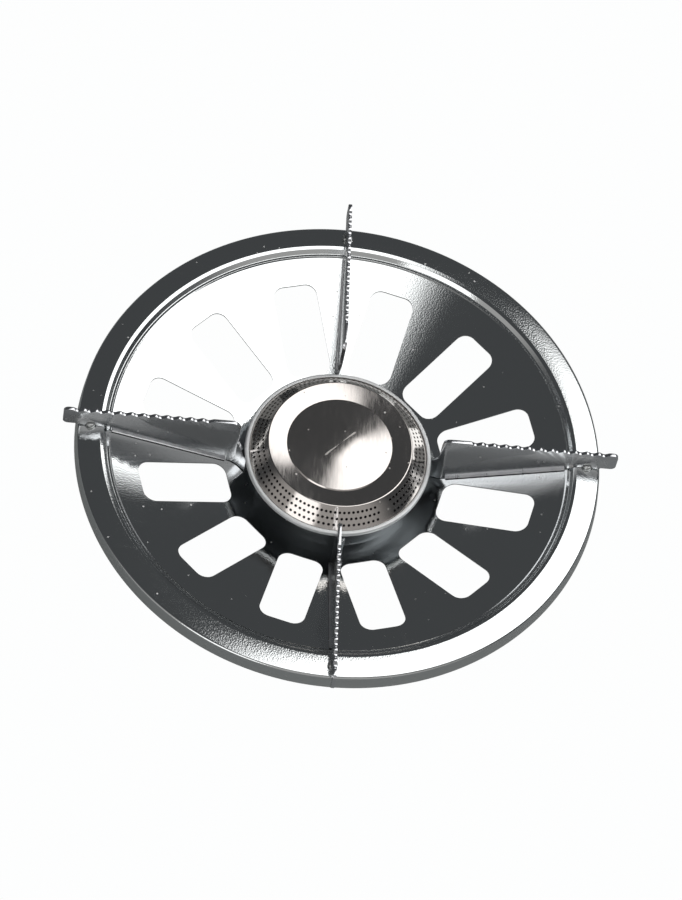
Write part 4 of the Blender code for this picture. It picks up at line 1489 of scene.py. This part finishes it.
@dataclass
class ControlKnob:
    """The knob, its screw and the spindle they turn.

    The maker finishes and places them. The other fields are their sizes.
    """

    maker: Maker
    segments: int = 96
    wall: float = 2.5 * MM
    face: float = 3.5 * MM
    hub_wall: float = 3.0 * MM
    hub_short: float = 3.0 * MM
    web: float = 2.7 * MM
    taper: float = 1.2 * MM
    spindle: float = 3.0 * MM
    flutes: int = 10
    flute: float = 2.4 * MM
    flute_outset: float = 1.1 * MM
    flute_steps: int = 24
    flute_start: float = 2.5 * MM
    pointer_length: float = 7.5 * MM
    pointer_width: float = 1.4 * MM
    pointer_depth: float = 0.7 * MM
    screw_head: float = 3.4 * MM
    screw_shank: float = 1.5 * MM
    screw_head_height: float = 2.2 * MM
    slot_width: float = 0.9 * MM
    slot_depth: float = 1.0 * MM
    edge_round: float = 0.35 * MM

    def knob(self) -> bpy.types.Object:
        """Builds the fluted knob with its hub and pointer groove.

        Returns:
            The knob.
        """
        start, end, radius = KNOB_LOW.y, KNOB_HIGH.y, KNOB_HIGH.x
        bore = self.spindle + GAP
        hub = bore + self.hub_wall
        inner = end - self.face
        head = self.screw_head + GAP
        spindle_end = SPINDLE_HIGH.y + GAP
        seat = spindle_end + self.web
        shank = self.screw_shank + GAP
        profile = rounded([
            (bore, start + self.hub_short),
            (hub, start + self.hub_short),
            (hub, inner, self.edge_round),
            (radius - self.wall, inner, self.edge_round),
            (radius - self.wall, start),
            (radius, start, self.edge_round),
            (radius, end - self.taper, self.taper),
            (radius - self.taper, end, self.taper / 2),
            (head, end),
            (head, seat),
            (shank, seat),
            (shank, spindle_end),
            (bore, spindle_end),
            (bore, start + self.hub_short),
        ])
        knob = lathed("fluted_knob", profile, self.segments, along_y=True)
        away = radius + self.flute_outset
        ring = [
            Vector((x, start + self.flute_start, SPINDLE_HEIGHT + away + z))
            for x, z in circle(self.flute, self.flute_steps)
        ]
        cutter = extruded("flute_cutter", ring, Vector((0, end - start, 0)))
        centre = Vector((0, 0, SPINDLE_HEIGHT))
        repeated(cutter, self.flutes, Vector((0, 1, 0)), centre)
        make_active(cutter)
        edit_all()
        bpy.ops.transform.rotate(value=math.pi / self.flutes, orient_axis="Y", center_override=centre)
        bpy.ops.object.mode_set(mode="OBJECT")
        combine(knob, cutter)
        low = SPINDLE_HEIGHT + head + self.wall
        half = self.pointer_width / 2
        outline = [
            Vector((x, end - self.pointer_depth, z))
            for x, z in rectangle(-half, low, half, low + self.pointer_length)
        ]
        combine(knob, extruded("pointer_cutter", outline, Vector((0, self.pointer_depth + PAST, 0))))
        soften(knob, self.edge_round / 2)
        return knob

    def screw(self) -> bpy.types.Object:
        """Builds the knob's screw with its slotted, domed head.

        Returns:
            The screw.
        """
        low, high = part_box("knob_screw")
        seat = high.y - self.screw_head_height
        profile = rounded([
            (0, low.y), (self.screw_shank, low.y), (self.screw_shank, seat), (self.screw_head, seat),
            (self.screw_head, high.y, self.screw_head_height / 3), (0, high.y),
        ])
        screw = lathed("knob_screw_slotted", profile, self.segments // 2, along_y=True)
        half, reach = self.slot_width / 2, self.screw_head + PAST
        floor = high.y - self.slot_depth
        outline = [
            Vector((x, floor, SPINDLE_HEIGHT + z))
            for x, z in rectangle(-reach, -half, reach, half)
        ]
        combine(screw, extruded("screw_slot", outline, Vector((0, self.slot_depth + PAST, 0))))
        soften(screw, self.edge_round / 4)
        return screw

    def make(self) -> None:
        """Builds the knob and screw, and dresses the spindle."""
        self.maker.place(self.knob(), "moulded_plastic", ["control_knob"], "knob")
        self.maker.place(self.screw(), "zinc_plate", ["knob_screw"], "knob")
        self.maker.keep("needle_spindle", "turned_brass")


@dataclass
class Studio:
    """Floor, overhead softbox, dim surroundings and camera.

    Attributes:
        azimuth: the camera's turn about Z.
        elevation: the camera's angle above the horizon.
        roll: how far the camera leans to its left.
        distance: from the pan's middle to the camera.
        lens: focal length in millimetres, for a 36 mm frame.
        shift: how far the picture slides sideways and upwards, in frames.
        softbox_height: the softbox's height over the floor.
        softbox_low: the softbox's lowest corner in X and Y.
        softbox_high: the softbox's highest corner in X and Y.
        floor_drop: how far the floor lies under the lowest piece.
        floor_size: the floor's width.
    """

    azimuth: float = math.radians(-9.15)
    elevation: float = math.radians(58.0)
    roll: float = math.radians(12.7)
    distance: float = 2336.0 * MM
    lens: float = 163.36
    shift: Point = (0.00106, -0.0052)
    softbox_height: float = 5.0
    softbox_low: Point = (-0.5, -0.6)
    softbox_high: Point = (1.7, 1.3)
    floor_drop: float = 1.0 * MM
    floor_size: float = 60.0

    def camera(self) -> None:
        """Sets the camera."""
        back = Vector((
            math.sin(self.azimuth) * math.cos(self.elevation),
            -math.cos(self.azimuth) * math.cos(self.elevation),
            math.sin(self.elevation),
        ))
        right = UPRIGHT.cross(back).normalized()
        up = back.cross(right)
        across = right * math.cos(self.roll) + up * math.sin(self.roll)
        above = up * math.cos(self.roll) - right * math.sin(self.roll)
        data = bpy.data.cameras.new("camera")
        data.lens = self.lens
        data.shift_x, data.shift_y = self.shift
        camera = bpy.data.objects.new("camera", data)
        bpy.context.scene.collection.objects.link(camera)
        turn = Matrix((across, above, back)).transposed().to_4x4()
        target = Vector((0, 0, PAN_HIGH.z))
        camera.matrix_world = Matrix.Translation(target + back * self.distance) @ turn
        bpy.context.scene.camera = camera

    def surroundings(self) -> None:
        """Makes the room dim in reflections and white to the camera."""
        world = bpy.data.worlds.new("room")
        bpy.context.scene.world = world
        world.use_nodes = True
        wiring = Wiring(world.node_tree)
        place = wiring.add("TexCoord", {}, "Generated")
        room = wiring.mix("RGBA", wiring.fade(place, *ROOM_FADE), opaque(ROOM_DARK), opaque(ROOM_LIGHT))
        room = wiring.mix("RGBA", wiring.fade(place, *WINDOW_FADE), room, opaque(WINDOW_LIGHT))
        dim = wiring.nodes["Background"]
        wiring.feed(dim, {"Color": room})
        seen = wiring.add("Background", {"Color": opaque(WHITE)})
        wiring.show(seen, dim.outputs["Background"], "World Output")

    def floor(self) -> None:
        """Lays a pale floor that is white to the camera and grey in reflections."""
        bpy.ops.object.select_all(action="DESELECT")
        low = min(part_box(node)[0].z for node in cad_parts)
        bpy.ops.mesh.primitive_plane_add(size=self.floor_size, location=(0, 0, low - self.floor_drop))
        floor = bpy.context.object
        floor.name = "floor"
        material = bpy.data.materials.new("pale_floor")
        material.use_nodes = True
        wiring = Wiring(material.node_tree)
        plain = wiring.nodes["Principled BSDF"]
        wiring.feed(plain, {"Base Color": opaque(FLOOR_REFLECTED), "Roughness": FLOOR_ROUGHNESS})
        glow = wiring.add("Emission", {"Color": opaque(FLOOR_SEEN)})
        wiring.show(glow, plain.outputs["BSDF"], "Material Output")
        floor.data.materials.append(material)

    def softbox(self) -> None:
        """Hangs the softbox: a wide panel whose far and left edges fade."""
        height = self.softbox_height
        low, high = (Vector(corner) * height for corner in (self.softbox_low, self.softbox_high))
        middle = (low + high) / 2
        bpy.ops.object.select_all(action="DESELECT")
        bpy.ops.mesh.primitive_plane_add(size=1.0, location=(middle.x, middle.y, PAN_HIGH.z + height))
        panel = bpy.context.object
        panel.name = "softbox"
        panel.scale = (high.x - low.x, high.y - low.y, 1.0)
        bpy.ops.object.transform_apply(location=True, rotation=True, scale=True)
        material = bpy.data.materials.new("softbox_cloth")
        material.use_nodes = True
        wiring = Wiring(material.node_tree)
        wiring.nodes.remove(wiring.nodes["Principled BSDF"])
        place = wiring.add("TexCoord", {}, "Object")
        edges = [
            wiring.fade(place, (*normal, 0.0), (offset - width) * height, (offset + width) * height)
            for normal, offset, width in SOFTBOX_EDGES
        ]
        lit = reduce(partial(wiring.maths, "MULTIPLY"), edges)
        open_air = wiring.add("BsdfTransparent", {})
        glow = wiring.add("Emission", {"Strength": SOFTBOX_STRENGTH})
        cloth = wiring.add("MixShader", {0: lit, 1: open_air, 2: glow})
        wiring.feed(wiring.nodes["Material Output"], {"Surface": cloth})
        panel.data.materials.append(material)
        panel.visible_camera = False

    def make(self) -> None:
        """Sets up the studio."""
        self.camera()
        self.surroundings()
        self.floor()
        self.softbox()
        bpy.context.scene.view_settings.view_transform = "Standard"


def main() -> None:
    """Builds every sub-assembly in order."""
    logging.basicConfig(level=logging.INFO, format="%(name)s %(message)s")
    Studio().make()
    maker = Maker(Finishes())
    pan = DripPan(maker)
    pan.make()
    arms = PotArms(maker, pan)
    arms.make()
    RivetStuds(maker, arms).make()
    Burner(maker).make()
    MixingTube(maker).make()
    Valve(maker).make()
    ControlKnob(maker).make()


if __name__ == "__main__":
    main()
